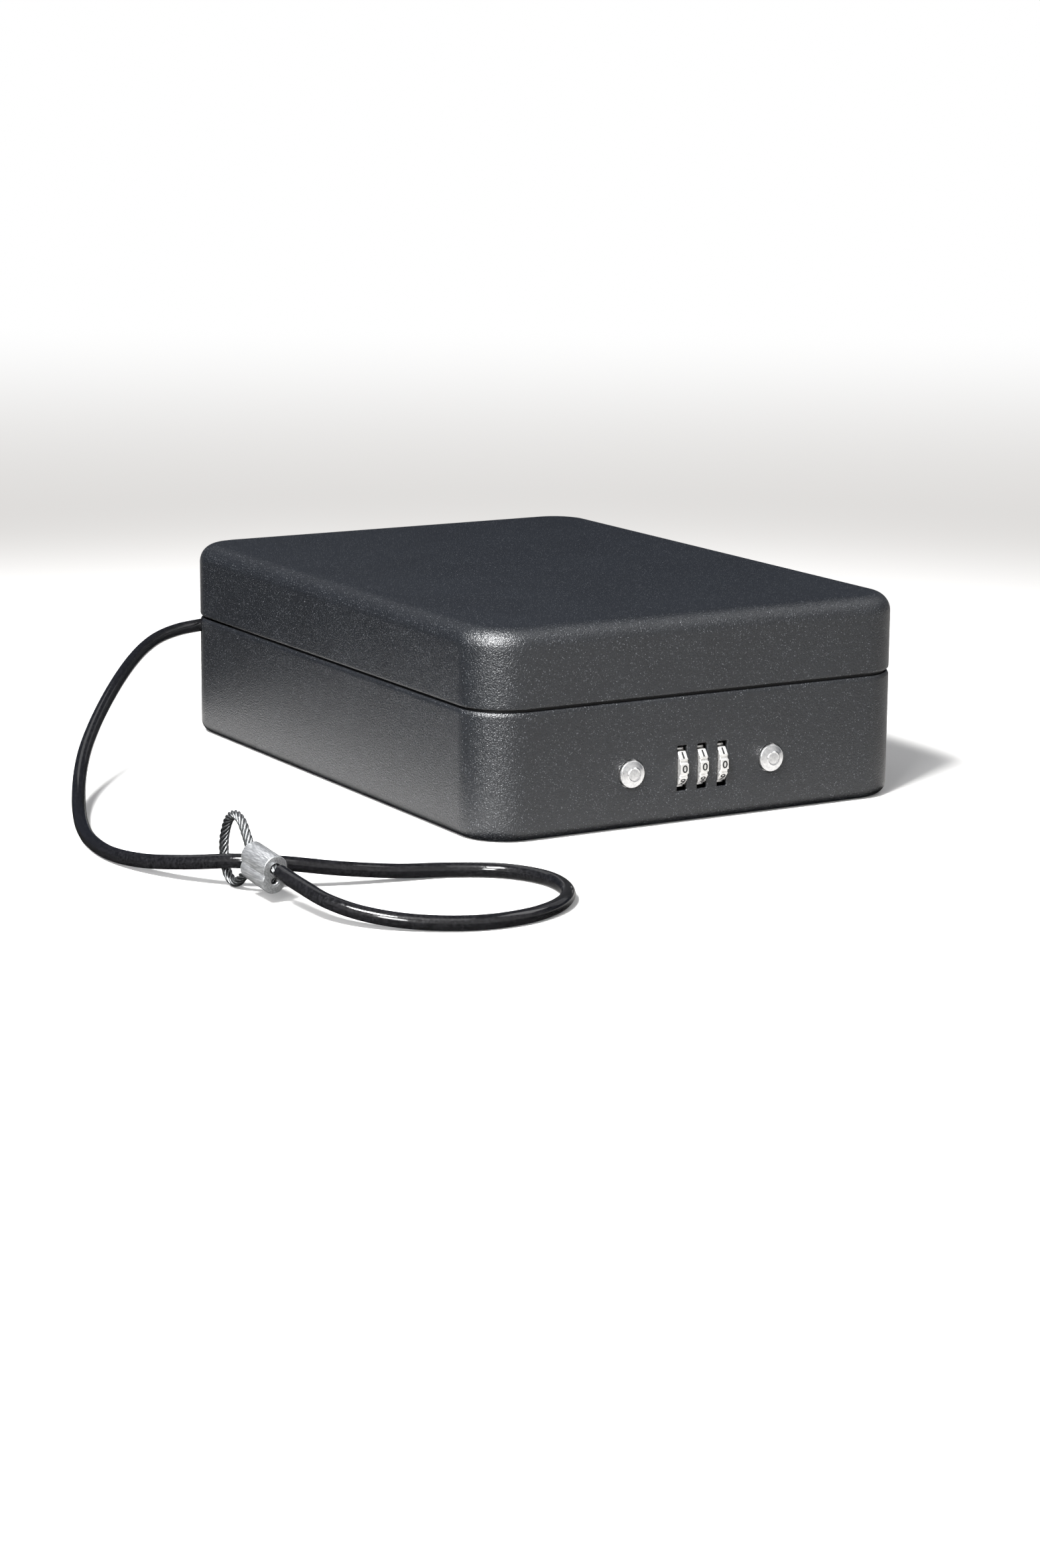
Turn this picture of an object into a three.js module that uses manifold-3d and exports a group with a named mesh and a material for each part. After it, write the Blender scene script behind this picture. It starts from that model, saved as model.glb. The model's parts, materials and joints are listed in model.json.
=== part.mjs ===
// Portable lock box: pressed steel base and lid, three-dial lock between two push buttons, tether cable.
// Millimetres. X to the right along the dial face, Y from the dials to the hinge, Z up from the underside.

import * as THREE from 'three';
import { mergeVertices } from 'three/addons/utils/BufferGeometryUtils.js';
import Module from 'manifold-3d';

const wasm = await Module();
wasm.setup();

// Overall sizes of the closed box
const box = {
  width: 180, depth: 243, height: 75.5, seamHeight: 46.8, seamGap: 1,
  wall: 1.2, cornerRadius: 18.5, topEdge: 7, bottomEdge: 4.5, rimRound: 0.6,
};
const gap = 0.3;
const overrun = 2;

// Inner lip that stands up behind the rim, at the front and along the sides
const lip = { thickness: 1.2, lockClearance: 3.8, aboveShare: 0.156, rearMargin: 40 };

// Number dials and what turns with them
const dial = {
  count: 3, pitch: 8.5, thickness: 3.4, facetRadius: 8.1, facets: 10, facetShare: 0.72, grooveShare: 0.14,
  grooveDepth: 0.9, proud: 2, height: 20.2, slotHeight: 16.5,
};
const spindle = { radius: 1.5, overhang: 1.9, grooveRadius: 1, grooveWidth: 1.4 };
const sleeve = { radius: 2.9, lead: 0.9, camThickness: 1.2, flatDepth: 0.9 };

// Sheet parts of the lock
const bracket = {
  thickness: 1.2, sideClearance: 0.9, cheekInset: 0.3, webRise: 5.2, wheelClearance: 0.6,
  frontClearance: 0.9,
};
const lockFrame = { thickness: 1.2, sideMargin: 6, height: 28, earWidth: 8 };
const detent = {
  thickness: 0.4, fingerWidth: 2.6, ridgeWidth: 0.8, wheelClearance: 0.6, grooveClearance: 0.4,
};
const comb = {
  thickness: 0.5, wheelClearance: 0.8, tongueReach: 1, feelerWidth: 1, feelerDepth: 2,
  stripDepth: 3.3, tabWidth: 4, tabClearance: 0.5,
};
const rivet = { radius: 1, headRadius: 1.8, headHeight: 0.8, spacing: 26, edge: 1.8 };
const weldStud = { radius: 1.5, length: 6.5 };
const hexNut = { sides: 6, acrossFlats: 5.5, height: 2.4 };
const cover = { wall: 1, sideMargin: 4, headroom: 4.2, frontInset: 3.3, slotMargin: 0.8 };
const coverScrew = {
  radius: 1.5, headRadius: 2.8, headHeight: 1.8, length: 6, sideInset: 6, drop: 7.7, recess: 0.9,
  recessWidth: 0.8,
};
const standoff = { radius: 3.2, length: 5 };
const resetLever = {
  thickness: 1, plateWidth: 11, plateHeight: 11, plateDrop: 5.2, fromCentre: 9, knobWidth: 3,
  knobHeight: 3.5, knobOffset: 4.5, knobRise: 3, knobReach: 2.5, fingerWidth: 1, fingerHeight: 1.4,
  fingerReach: 2, travel: 2.2,
};

// Push buttons, their catches and the strikers that hang from the lid
const button = {
  spacing: 59.2, radius: 5, proud: 1.9, domeRise: 1.3, ringRadius: 2.4, ringWidth: 0.5, ringDepth: 0.25,
  flangeRadius: 6.4, flangeThickness: 1.2, shoulderRadius: 4, stemRadius: 2.25, stemLength: 2.4,
  grooveRadius: 1.7, grooveWidth: 1.4,
};
const clip = { thickness: 0.8, stemRadius: 4.2, spindleRadius: 3.2, mouthShare: 0.8 };
const striker = {
  width: 18, thickness: 1.5, lipClearance: 1, bottom: 30, windowBottom: 34, windowHeight: 4.5,
  windowWidth: 11, joggleRise: 0.7, joggleHeight: 2.6, topMargin: 1.5,
};
const hook = {
  thickness: 0.8, width: 9, bottom: 15, clearance: 0.6, noseReach: 2.4, noseTip: 0.7, noseHeight: 3.5,
  slotWidth: 5, slotHeight: 1.7,
};
const coil = { wireRadius: 0.35, radius: 3.4, turns: 5, stepsPerTurn: 8, sides: 4 };

// Hinge at the back, its axis on the outer face of the back wall
const hinge = {
  length: 110, knuckles: 5, knuckleGap: 0.4, barrelRadius: 2.5, pinRadius: 1.25, leafThickness: 1,
  leafHeight: 19, topMargin: 2.7, pinRecess: 0.4,
};

// Pads
const liner = { thickness: 3, baseInset: 5, lidInset: 7, frontMargin: 0.5 };

// Tether cable with a bare rope core, and the sleeve and eye at each of its ends
const rope = {
  jacketRadius: 2.5, coreRadius: 1.7, jacketSides: 8, coreSides: 6, jacketSteps: 76, innerSteps: 16,
  eyeSteps: 42,
};
const ferrule = { barrelRadius: 4.4, barrelPitch: 4.2, length: 15, bareLength: 3, tailShort: 2.4 };
const eye = { neck: 9.6, reach: 9.2, halfHeight: 11.5 };
const notch = { fromBack: 12, cableDrop: 3.1, width: 5.6 };
const post = { radius: 4, height: 12.3, headRadius: 6.2, headHeight: 2.2, footRadius: 6, footHeight: 1.5 };
const outerEye = { x: -99.4, y: -242.7, height: 13.3, headingDegrees: -86, tiltDegrees: -8 };
const innerEye = { x: 96, y: -25.5, headingDegrees: 176, tiltDegrees: 0 };

// The tether's two stretches, from its notch to the noose on the floor and to the eye inside: chosen places
// from the foot of the wall below the notch, with their rises as shares of the notch's height
const freeRoute = {
  places: [
    [-9, -1.7], [-20, -6.9], [-30.5, -15.9], [-40.8, -27.1], [-50.8, -39.1], [-60.4, -51.1],
    [-69.4, -62.5], [-77.8, -73.5], [-85.6, -84.7], [-92.8, -96.9], [-99.6, -110.9],
    [-106.6, -127.5], [-113.4, -146.5], [-118.6, -166.5], [-120.4, -187], [-117.4, -207],
    [-110.4, -225.5], [-99.5, -241.5], [-85.1, -249.6], [-67.8, -254.7], [-48.6, -257.9],
    [-29.8, -261.5], [-14.5, -271.5], [-7.1, -287.6], [-10.3, -305.4], [-21.8, -319.4],
    [-38.2, -327.1], [-56.6, -326.7], [-73.5, -318.1], [-85.8, -307.5], [-93.2, -295.8],
    [-96.2, -283],
  ],
  riseShares: [
    0.9803, 0.9459, 0.8968, 0.8329, 0.7568, 0.6683, 0.5676, 0.457, 0.3415, 0.2236, 0.1179, 0.0418,
    0.0074, 0.0025, 0.0074, 0.0418, 0.1057, 0.1695, 0.1499, 0.086, 0.027, 0.0025, 0.0025, 0.0025,
    0.0025, 0.0025, 0.0025, 0.0025, 0.0123, 0.0516, 0.1106, 0.1744,
  ],
};
const innerRoute = {
  places: [
    [11, -0.5], [22, -3.1], [30.5, -7.5], [38, -12.5], [46.5, -17.5], [57, -20.9],
  ],
  riseShares: [
    0.9853, 0.8821, 0.715, 0.5184, 0.3366, 0.2187,
  ],
};

// Smoothness of curved faces
const smooth = { corner: 8, edge: 4, rim: 2, round: 20, small: 12, tension: 0.5 };

// Places that follow from the sizes
const halfWidth = box.width / 2;
const halfDepth = box.depth / 2;
const frontInner = -halfDepth + box.wall;
const backInner = halfDepth - box.wall;
const baseRim = box.seamHeight - box.seamGap / 2;
const lidRim = box.seamHeight + box.seamGap / 2;
const lipInner = frontInner + gap + lip.thickness;
const wheelTip = dial.facetRadius / Math.cos((Math.PI / dial.facets) * dial.facetShare);
const dialY = -halfDepth - dial.proud + dial.facetRadius;
const camRadius = dial.facetRadius - dial.proud - box.wall - gap;
const camFlat = camRadius - sleeve.flatDepth;
const buttonX = button.spacing / 2;
const frameHalf = buttonX + button.flangeRadius + lockFrame.sideMargin;
const dialX = (index) => (index - (dial.count - 1) / 2) * dial.pitch;
const sleeveReach = dial.pitch - dial.thickness / 2 - sleeve.lead - gap;
const bracketInner = dialX(dial.count - 1) + sleeveReach + bracket.sideClearance;
const webFront = dialY + wheelTip + bracket.wheelClearance;
const webHalf = wheelTip + bracket.webRise;
const cheekHalf = wheelTip - bracket.cheekInset;
const webBack = webFront + bracket.thickness;
const plateFront = webBack + gap;
const plateBack = plateFront + lockFrame.thickness;
const coverInner = plateBack + standoff.length + gap;
const coverBack = coverInner + cover.wall;
const coverFront = frontInner + cover.frontInset;
const strikerFront = lipInner + striker.lipClearance;
const strikerBack = strikerFront + striker.thickness;
const hookFront = strikerBack + hook.clearance;
const hookBack = hookFront + hook.thickness;
const combLevel = dial.height + wheelTip + comb.wheelClearance;
const clipFront = plateBack + gap;
const catchTop = striker.windowBottom + gap + hook.noseHeight;
const coverTop = catchTop + cover.headroom;
const wallTop = box.height - box.wall;
const lidEdge = wallTop - box.topEdge + box.wall;
const lipBottom = dial.height + lockFrame.height / 2 + lip.lockClearance;
const lipTop = lidRim + (wallTop - lidRim) * lip.aboveShare;
const notchY = halfDepth - notch.fromBack;
const notchZ = baseRim - notch.cableDrop;
const atNotch = (x, y, z) => new THREE.Vector3(x - halfWidth, y + notchY, z);
const risen = (share) => rope.jacketRadius + (notchZ - rope.jacketRadius) * share;
const notchInset = box.cornerRadius - notch.fromBack;
const notchX = -halfWidth + box.cornerRadius - Math.sqrt(box.cornerRadius ** 2 - notchInset ** 2);

// Booleans
const weld = 1e-4;

function toSolid(geometry) {
  const bare = geometry.clone();
  bare.deleteAttribute('normal');
  bare.deleteAttribute('uv');
  const merged = mergeVertices(bare, weld);
  return new wasm.Manifold(new wasm.Mesh({
    numProp: 3,
    vertProperties: new Float32Array(merged.attributes.position.array),
    triVerts: new Uint32Array(merged.index.array),
  }));
}

function toGeometry(solid) {
  const mesh = solid.getMesh();
  const geometry = new THREE.BufferGeometry();
  const points = new Float32Array((mesh.vertProperties.length / mesh.numProp) * 3);
  for (let i = 0; i < points.length / 3; i += 1) {
    for (let k = 0; k < 3; k += 1) points[i * 3 + k] = mesh.vertProperties[i * mesh.numProp + k];
  }
  geometry.setAttribute('position', new THREE.BufferAttribute(points, 3));
  geometry.setIndex(new THREE.BufferAttribute(new Uint32Array(mesh.triVerts), 1));
  const flat = geometry.toNonIndexed();
  flat.computeVertexNormals();
  return flat;
}

function join(first, ...others) {
  return toGeometry(others.reduce((sum, next) => sum.add(toSolid(next)), toSolid(first)));
}

function cut(first, ...tools) {
  return toGeometry(tools.reduce((left, tool) => left.subtract(toSolid(tool)), toSolid(first)));
}

// Simple solids, each given by its faces or its axis
function block([x0, x1], [y0, y1], [z0, z1]) {
  const geometry = new THREE.BoxGeometry(x1 - x0, y1 - y0, z1 - z0);
  return geometry.translate((x0 + x1) / 2, (y0 + y1) / 2, (z0 + z1) / 2);
}

function rodX(radius, [x0, x1], y, z, sides = smooth.round) {
  const geometry = new THREE.CylinderGeometry(radius, radius, x1 - x0, sides);
  return geometry.rotateZ(-Math.PI / 2).translate((x0 + x1) / 2, y, z);
}

function rodY(radius, [y0, y1], x, z, sides = smooth.round) {
  const geometry = new THREE.CylinderGeometry(radius, radius, y1 - y0, sides);
  return geometry.translate(x, (y0 + y1) / 2, z);
}

const outline = (points) => new THREE.Shape(points.map(([a, b]) => new THREE.Vector2(a, b)));

// A flat outline carried along one axis. Along X its points are (y, z), along Y (z, x), along Z (x, y).
function prism(shape, axis, [from, to]) {
  const geometry = new THREE.ExtrudeGeometry(shape, {
    depth: to - from, bevelEnabled: false, curveSegments: smooth.small,
  });
  const [right, up, along] = {
    x: [[0, 1, 0], [0, 0, 1], [1, 0, 0]],
    y: [[0, 0, 1], [1, 0, 0], [0, 1, 0]],
    z: [[1, 0, 0], [0, 1, 0], [0, 0, 1]],
  }[axis].map((v) => new THREE.Vector3(...v));
  geometry.translate(0, 0, from);
  return geometry.applyMatrix4(new THREE.Matrix4().makeBasis(right, up, along));
}

// A turned piece: its profile is [radius, place along Y], with its ends on the axis unless it is a ring
function turnedY(profile, x, z, sides = smooth.round) {
  const points = profile.map(([radius, along]) => new THREE.Vector2(radius, along));
  return new THREE.LatheGeometry(points, sides).translate(x, 0, z);
}

// One ring of points round a rectangle with round corners, set in from the outside of the box
function cornerRing(inset) {
  const radius = box.cornerRadius - inset;
  const across = halfWidth - box.cornerRadius;
  const along = halfDepth - box.cornerRadius;
  const quarter = Math.PI / 2;
  const corners = [[across, along], [-across, along], [-across, -along], [across, -along]];
  return corners.flatMap(([x, y], corner) => Array.from({ length: smooth.corner + 1 }, (_, step) => {
    const angle = quarter * (corner + step / smooth.corner);
    return [x + radius * Math.cos(angle), y + radius * Math.sin(angle)];
  }));
}

// A drawn tray: rings of the profile [inset, height] joined into one skin, with a flat cap at both ends
function drawnTray(profile) {
  const rings = profile.map(([inset, height]) => cornerRing(inset).map(([x, y]) => [x, y, height]));
  const size = rings[0].length;
  const points = rings.flat();
  const triangles = [];
  for (let ring = 0; ring + 1 < rings.length; ring += 1) {
    for (let k = 0; k < size; k += 1) {
      const [a, b] = [ring * size + k, ring * size + ((k + 1) % size)];
      triangles.push(a, b, b + size, a, b + size, a + size);
    }
  }
  const last = (rings.length - 1) * size;
  const first = points.push([0, 0, profile[0][1]]) - 1;
  const end = points.push([0, 0, profile.at(-1)[1]]) - 1;
  for (let k = 0; k < size; k += 1) {
    const next = (k + 1) % size;
    triangles.push(first, next, k, end, last + k, last + next);
  }
  const geometry = new THREE.BufferGeometry();
  geometry.setAttribute('position', new THREE.Float32BufferAttribute(points.flat(), 3));
  geometry.setIndex(triangles);
  return geometry;
}

// A quarter round from the flat of a tray to its wall, as [inset, height]
function quarterRound(radius, inset, height, rise, steps) {
  return Array.from({ length: steps + 1 }, (_, step) => {
    const angle = (Math.PI / 2) * (step / steps);
    return [inset + radius * (1 - Math.sin(angle)), height + rise * radius * (1 - Math.cos(angle))];
  });
}

// Profile of one half of the box, from the middle of its outside over the rim to the middle of its inside
function trayProfile(edge, flat, rim, rise) {
  const innerEdge = edge - box.wall;
  const round = box.rimRound;
  const outside = quarterRound(edge, 0, flat, rise, smooth.edge);
  const outerRim = quarterRound(round, 0, rim, -rise, smooth.rim).reverse();
  const innerRim = quarterRound(round, 0, rim, -rise, smooth.rim)
    .map(([inset, height]) => [box.wall - inset, height]);
  const inside = quarterRound(innerEdge, box.wall, flat + rise * box.wall, rise, smooth.edge).reverse();
  return [...outside, ...outerRim, ...innerRim.slice(1), ...inside];
}

function baseShell() {
  const tray = drawnTray(trayProfile(box.bottomEdge, 0, baseRim, 1));
  const slots = Array.from({ length: dial.count }, (_, k) => block(
    [dialX(k) - dial.thickness / 2 - gap, dialX(k) + dial.thickness / 2 + gap],
    [-halfDepth - overrun, frontInner + overrun],
    [dial.height - dial.slotHeight / 2, dial.height + dial.slotHeight / 2],
  ));
  const holes = [-buttonX, buttonX].map((x) => rodY(
    button.radius + gap, [-halfDepth - overrun, frontInner + overrun], x, dial.height,
  ));
  const reach = [-halfWidth - overrun, -halfWidth + box.cornerRadius / 2];
  const cable = join(
    rodX(notch.width / 2, reach, notchY, notchZ, smooth.small),
    block(reach, [notchY - notch.width / 2, notchY + notch.width / 2], [notchZ, baseRim + overrun]),
  );
  return cut(tray, ...slots, ...holes, cable, hingeNotch());
}

function lidShell() {
  const tray = drawnTray(trayProfile(box.topEdge, box.height, lidRim, -1));
  tray.index.array.reverse();
  return cut(tray, hingeNotch());
}

// Room for the hinge barrel in both rims
function hingeNotch() {
  const reach = hinge.barrelRadius + gap;
  return block(
    [-hinge.length / 2 - gap, hinge.length / 2 + gap],
    [backInner - overrun, halfDepth + overrun],
    [box.seamHeight - reach, box.seamHeight + reach],
  );
}

// A U in plan that follows the walls from one side round the front to the other
function innerLip() {
  const side = (inset) => {
    const front = cornerRing(inset).filter(([, y]) => y < 0);
    const rear = backInner - lip.rearMargin;
    return [[-halfWidth + inset, rear], ...front, [halfWidth - inset, rear]];
  };
  const outside = side(box.wall + gap);
  const inside = side(box.wall + gap + lip.thickness).reverse();
  return prism(outline([...outside, ...inside]), 'z', [lipBottom, lipTop]);
}

function baseLiner() {
  const front = coverBack + coverScrew.headHeight + gap + liner.frontMargin;
  const rear = cornerRing(liner.baseInset).filter(([, y]) => y > 0);
  const corners = [[-halfWidth + liner.baseInset, front], [halfWidth - liner.baseInset, front]];
  const shape = outline([...rear, ...corners]);
  const hole = new THREE.Path();
  hole.absarc(postX, postY, post.headRadius + gap, 0, Math.PI * 2, true);
  shape.holes.push(hole);
  const floor = box.wall + gap;
  return prism(shape, 'z', [floor, floor + liner.thickness]);
}

function lidLiner() {
  return prism(outline(cornerRing(liner.lidInset)), 'z', [wallTop - gap - liner.thickness, wallTop - gap]);
}

// Dial: ten flats with a groove between each two, bored for its sleeve
function dialWheel(index) {
  const step = (2 * Math.PI) / dial.facets;
  const bottom = wheelTip - dial.grooveDepth;
  const points = Array.from({ length: dial.facets }, (_, k) => {
    const middle = Math.PI + k * step;
    const edge = (step / 2) * dial.facetShare;
    const groove = (step / 2) * (1 - dial.grooveShare);
    const tooth = [[bottom, -groove], [wheelTip, -edge], [wheelTip, edge], [bottom, groove]];
    return tooth.map(([radius, turn]) => [
      dialY + radius * Math.cos(middle + turn), dial.height + radius * Math.sin(middle + turn),
    ]);
  }).flat();
  const shape = outline(points);
  const bore = new THREE.Path();
  bore.absarc(dialY, dial.height, sleeve.radius + gap, 0, Math.PI * 2, true);
  shape.holes.push(bore);
  return prism(shape, 'x', [dialX(index) - dial.thickness / 2, dialX(index) + dial.thickness / 2]);
}

// Sleeve through a dial, with a cam disc that has a flat for the comb's feeler
function camSleeve(index) {
  const start = dialX(index) - dial.thickness / 2 - sleeve.lead;
  const cam = dialX(index) + dial.thickness / 2 + gap;
  const end = start + dial.pitch - gap;
  const ring = new THREE.LatheGeometry([
    [spindle.radius + gap, start], [sleeve.radius, start], [sleeve.radius, cam], [camRadius, cam],
    [camRadius, cam + sleeve.camThickness], [sleeve.radius, cam + sleeve.camThickness],
    [sleeve.radius, end], [spindle.radius + gap, end], [spindle.radius + gap, start],
  ].map(([radius, along]) => new THREE.Vector2(radius, along)), smooth.round);
  ring.rotateZ(-Math.PI / 2).translate(0, dialY, dial.height);
  return cut(ring, block(
    [cam - gap / 2, cam + sleeve.camThickness + gap / 2],
    [dialY - camRadius, dialY + camRadius],
    [dial.height + camFlat, dial.height + camRadius + overrun],
  ));
}

const cheekOuter = bracketInner + bracket.thickness;
const spindleEnd = cheekOuter + spindle.overhang;

function dialSpindle() {
  const groove = cheekOuter + gap / 2;
  const half = [
    [0, spindleEnd], [spindle.radius, spindleEnd], [spindle.radius, groove + spindle.grooveWidth],
    [spindle.grooveRadius, groove + spindle.grooveWidth], [spindle.grooveRadius, groove],
    [spindle.radius, groove],
  ];
  const profile = [...half, ...half.map(([radius, along]) => [radius, -along]).reverse()].reverse();
  const points = profile.map(([radius, along]) => new THREE.Vector2(radius, along));
  const rod = new THREE.LatheGeometry(points, smooth.small);
  return rod.rotateZ(-Math.PI / 2).translate(0, dialY, dial.height);
}

// A retaining clip is a ring with a mouth, so that it can be pushed over a groove
function clipShape(inner, outer, mouthAngle) {
  const half = (Math.PI / 2) * clip.mouthShare / 2;
  const shape = new THREE.Shape();
  shape.absarc(0, 0, outer, mouthAngle + half, mouthAngle - half + Math.PI * 2, false);
  shape.absarc(0, 0, inner, mouthAngle - half + Math.PI * 2, mouthAngle + half, true);
  return shape;
}

function spindleClip(side) {
  const near = cheekOuter + gap;
  const far = near + clip.thickness;
  const geometry = prism(clipShape(spindle.grooveRadius + gap, clip.spindleRadius, Math.PI / 2), 'x',
    side < 0 ? [-far, -near] : [near, far]);
  return geometry.translate(0, dialY, dial.height);
}

function stemClip(side) {
  const shape = clipShape(button.grooveRadius + gap, clip.stemRadius, 0);
  const geometry = prism(shape, 'y', [clipFront, clipFront + clip.thickness]);
  return geometry.translate(side * buttonX, 0, dial.height);
}

// Rivet holes that the bracket, the frame and both springs share
const rivetLevels = {
  detent: dial.height - webHalf + rivet.edge,
  comb: dial.height + webHalf - rivet.edge,
};
const rivetPlaces = Object.values(rivetLevels).flatMap((z) => [
  [-rivet.spacing / 2, z], [rivet.spacing / 2, z],
]);

function rivetHoles(from, to) {
  return rivetPlaces.map(([x, z]) => rodY(rivet.radius + gap, [from, to], x, z, smooth.small));
}

// Slot that the reset lever's finger reaches through
const fingerRight = dialX(0) - dial.thickness / 2 - sleeve.lead - gap;

function fingerSlot(from, to) {
  const half = resetLever.fingerHeight / 2 + gap;
  return block(
    [fingerRight - resetLever.fingerWidth - resetLever.travel - gap, fingerRight + gap], [from, to],
    [dial.height - half, dial.height + half],
  );
}

// U-shaped bracket: a web behind the dials and two cheeks that carry the spindle
function dialBracket() {
  const inner = bracketInner;
  const web = block(
    [-cheekOuter, cheekOuter], [webFront, webBack],
    [dial.height - webHalf, dial.height + webHalf],
  );
  const cheeks = [[-cheekOuter, -inner], [inner, cheekOuter]].map((span) => block(
    span, [frontInner + bracket.frontClearance, webFront + bracket.thickness / 2],
    [dial.height - cheekHalf, dial.height + cheekHalf],
  ));
  const across = [-cheekOuter - overrun, cheekOuter + overrun];
  const bore = rodX(spindle.radius + gap, across, dialY, dial.height);
  const [from, to] = [webFront - overrun, webBack + overrun];
  return cut(join(web, ...cheeks), bore, fingerSlot(from, to), ...rivetHoles(from, to));
}

// Hat section: ears on the front wall, sides, and a plate across the back that guides the button stems
function lockFrameSheet() {
  const half = frameHalf;
  const thick = lockFrame.thickness;
  const front = frontInner + gap;
  const right = [
    [half + lockFrame.earWidth, front], [half + lockFrame.earWidth, front + thick], [half, front + thick],
    [half, plateBack],
  ];
  const inside = [[half - thick, plateFront], [half - thick, front]];
  const mirror = (points) => points.map(([x, y]) => [-x, y]).reverse();
  const shape = outline([...right, ...mirror(right), ...mirror(inside), ...inside]);
  const [low, high] = [dial.height - lockFrame.height / 2, dial.height + lockFrame.height / 2];
  const hat = prism(shape, 'z', [low, high]);
  const pillars = coverScrewX.map((x) => rodY(
    standoff.radius, [plateBack - thick / 2, plateBack + standoff.length], x, coverScrewZ, smooth.small,
  ));
  const [from, to] = [plateFront - overrun, plateBack + overrun];
  const stems = [-buttonX, buttonX].map((x) => rodY(button.stemRadius + gap, [from, to], x, dial.height));
  const studs = [-studX, studX].map((x) => rodY(
    weldStud.radius + gap, [front - overrun, front + thick + overrun], x, dial.height, smooth.small,
  ));
  const taps = coverScrewX.map((x) => rodY(
    coverScrew.radius + gap, [plateFront - overrun, coverInner + overrun], x, coverScrewZ, smooth.small,
  ));
  const holes = [...stems, ...studs, ...taps, ...rivetHoles(from, to)];
  return cut(join(hat, ...pillars), ...holes, fingerSlot(from, to));
}

const coverScrewX = [coverScrew.sideInset - frameHalf, frameHalf - coverScrew.sideInset];
const coverScrewZ = dial.height - coverScrew.drop;
const studX = frameHalf + lockFrame.earWidth / 2;

function sheetRivet(x, z) {
  const detentLevel = z < dial.height;
  const sheet = detentLevel ? detent.thickness : comb.thickness;
  const front = webFront - gap - sheet;
  const near = front - gap - rivet.headHeight;
  const far = plateBack + gap + rivet.headHeight;
  const shank = [near + rivet.headHeight, far - rivet.headHeight];
  return turnedY([
    [0, near], [rivet.headRadius, near], [rivet.headRadius, shank[0]], [rivet.radius, shank[0]],
    [rivet.radius, shank[1]], [rivet.headRadius, shank[1]], [rivet.headRadius, far], [0, far],
  ], x, z, smooth.small);
}

// Leaf under the dials: one finger for each, its ridge in the lowest groove
function detentSpring() {
  const top = dial.height - wheelTip - detent.wheelClearance;
  const back = webFront - gap;
  const low = dial.height - webHalf;
  const reach = rivet.spacing / 2 + rivet.headRadius;
  const leg = block([-reach, reach], [back - detent.thickness, back], [low, top]);
  const ridgeTop = dial.height - wheelTip + dial.grooveDepth - detent.grooveClearance;
  const profile = outline([
    [back, top - detent.thickness], [back, top], [dialY + detent.ridgeWidth / 2, top], [dialY, ridgeTop],
    [dialY - detent.ridgeWidth / 2, top], [dialY - detent.ridgeWidth / 2, top - detent.thickness],
  ]);
  const fingers = Array.from({ length: dial.count }, (_, k) => prism(profile, 'x',
    [dialX(k) - detent.fingerWidth / 2, dialX(k) + detent.fingerWidth / 2]));
  const holes = rivetHoles(back - overrun, back + overrun);
  return cut(join(leg, ...fingers), ...holes);
}

// Comb over the dials: feelers that rest on the cams' flats, and a tab behind each catch
function lockingComb() {
  const back = webFront - gap;
  const level = [combLevel, combLevel + comb.thickness];
  const reach = rivet.spacing / 2 + rivet.headRadius;
  const leg = block(
    [-reach, reach], [back - comb.thickness, back], [combLevel, dial.height + webHalf],
  );
  const arm = buttonX + comb.tabWidth / 2;
  const strip = block([-arm, arm], [back - comb.stripDepth, back], level);
  const tongue = block([-reach, reach], [dialY - comb.tongueReach, back], level);
  const tabs = [-buttonX, buttonX].map((x) => block(
    [x - comb.tabWidth / 2, x + comb.tabWidth / 2], [hookBack + comb.tabClearance, back], level,
  ));
  const feelers = Array.from({ length: dial.count }, (_, k) => {
    const cam = dialX(k) + dial.thickness / 2 + gap + sleeve.camThickness / 2;
    return block(
      [cam - comb.feelerWidth / 2, cam + comb.feelerWidth / 2],
      [dialY - comb.feelerDepth / 2, dialY + comb.feelerDepth / 2],
      [dial.height + camFlat + gap, combLevel + comb.thickness / 2],
    );
  });
  const holes = rivetHoles(back - overrun, back + overrun);
  return cut(join(leg, strip, tongue, ...tabs, ...feelers), ...holes);
}

function weldStudPin(side) {
  const near = frontInner + gap;
  return rodY(weldStud.radius, [near, near + weldStud.length], side * studX, dial.height, smooth.small);
}

function studNut(side) {
  const step = (2 * Math.PI) / hexNut.sides;
  const corner = hexNut.acrossFlats / 2 / Math.cos(step / 2);
  const shape = outline(Array.from({ length: hexNut.sides }, (_, k) => {
    const angle = k * step;
    return [corner * Math.cos(angle), corner * Math.sin(angle)];
  }));
  const bore = new THREE.Path();
  bore.absarc(0, 0, weldStud.radius + gap, 0, Math.PI * 2, true);
  shape.holes.push(bore);
  const near = frontInner + gap + lockFrame.thickness + gap;
  return prism(shape, 'y', [near, near + hexNut.height]).translate(side * studX, 0, dial.height);
}

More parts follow.
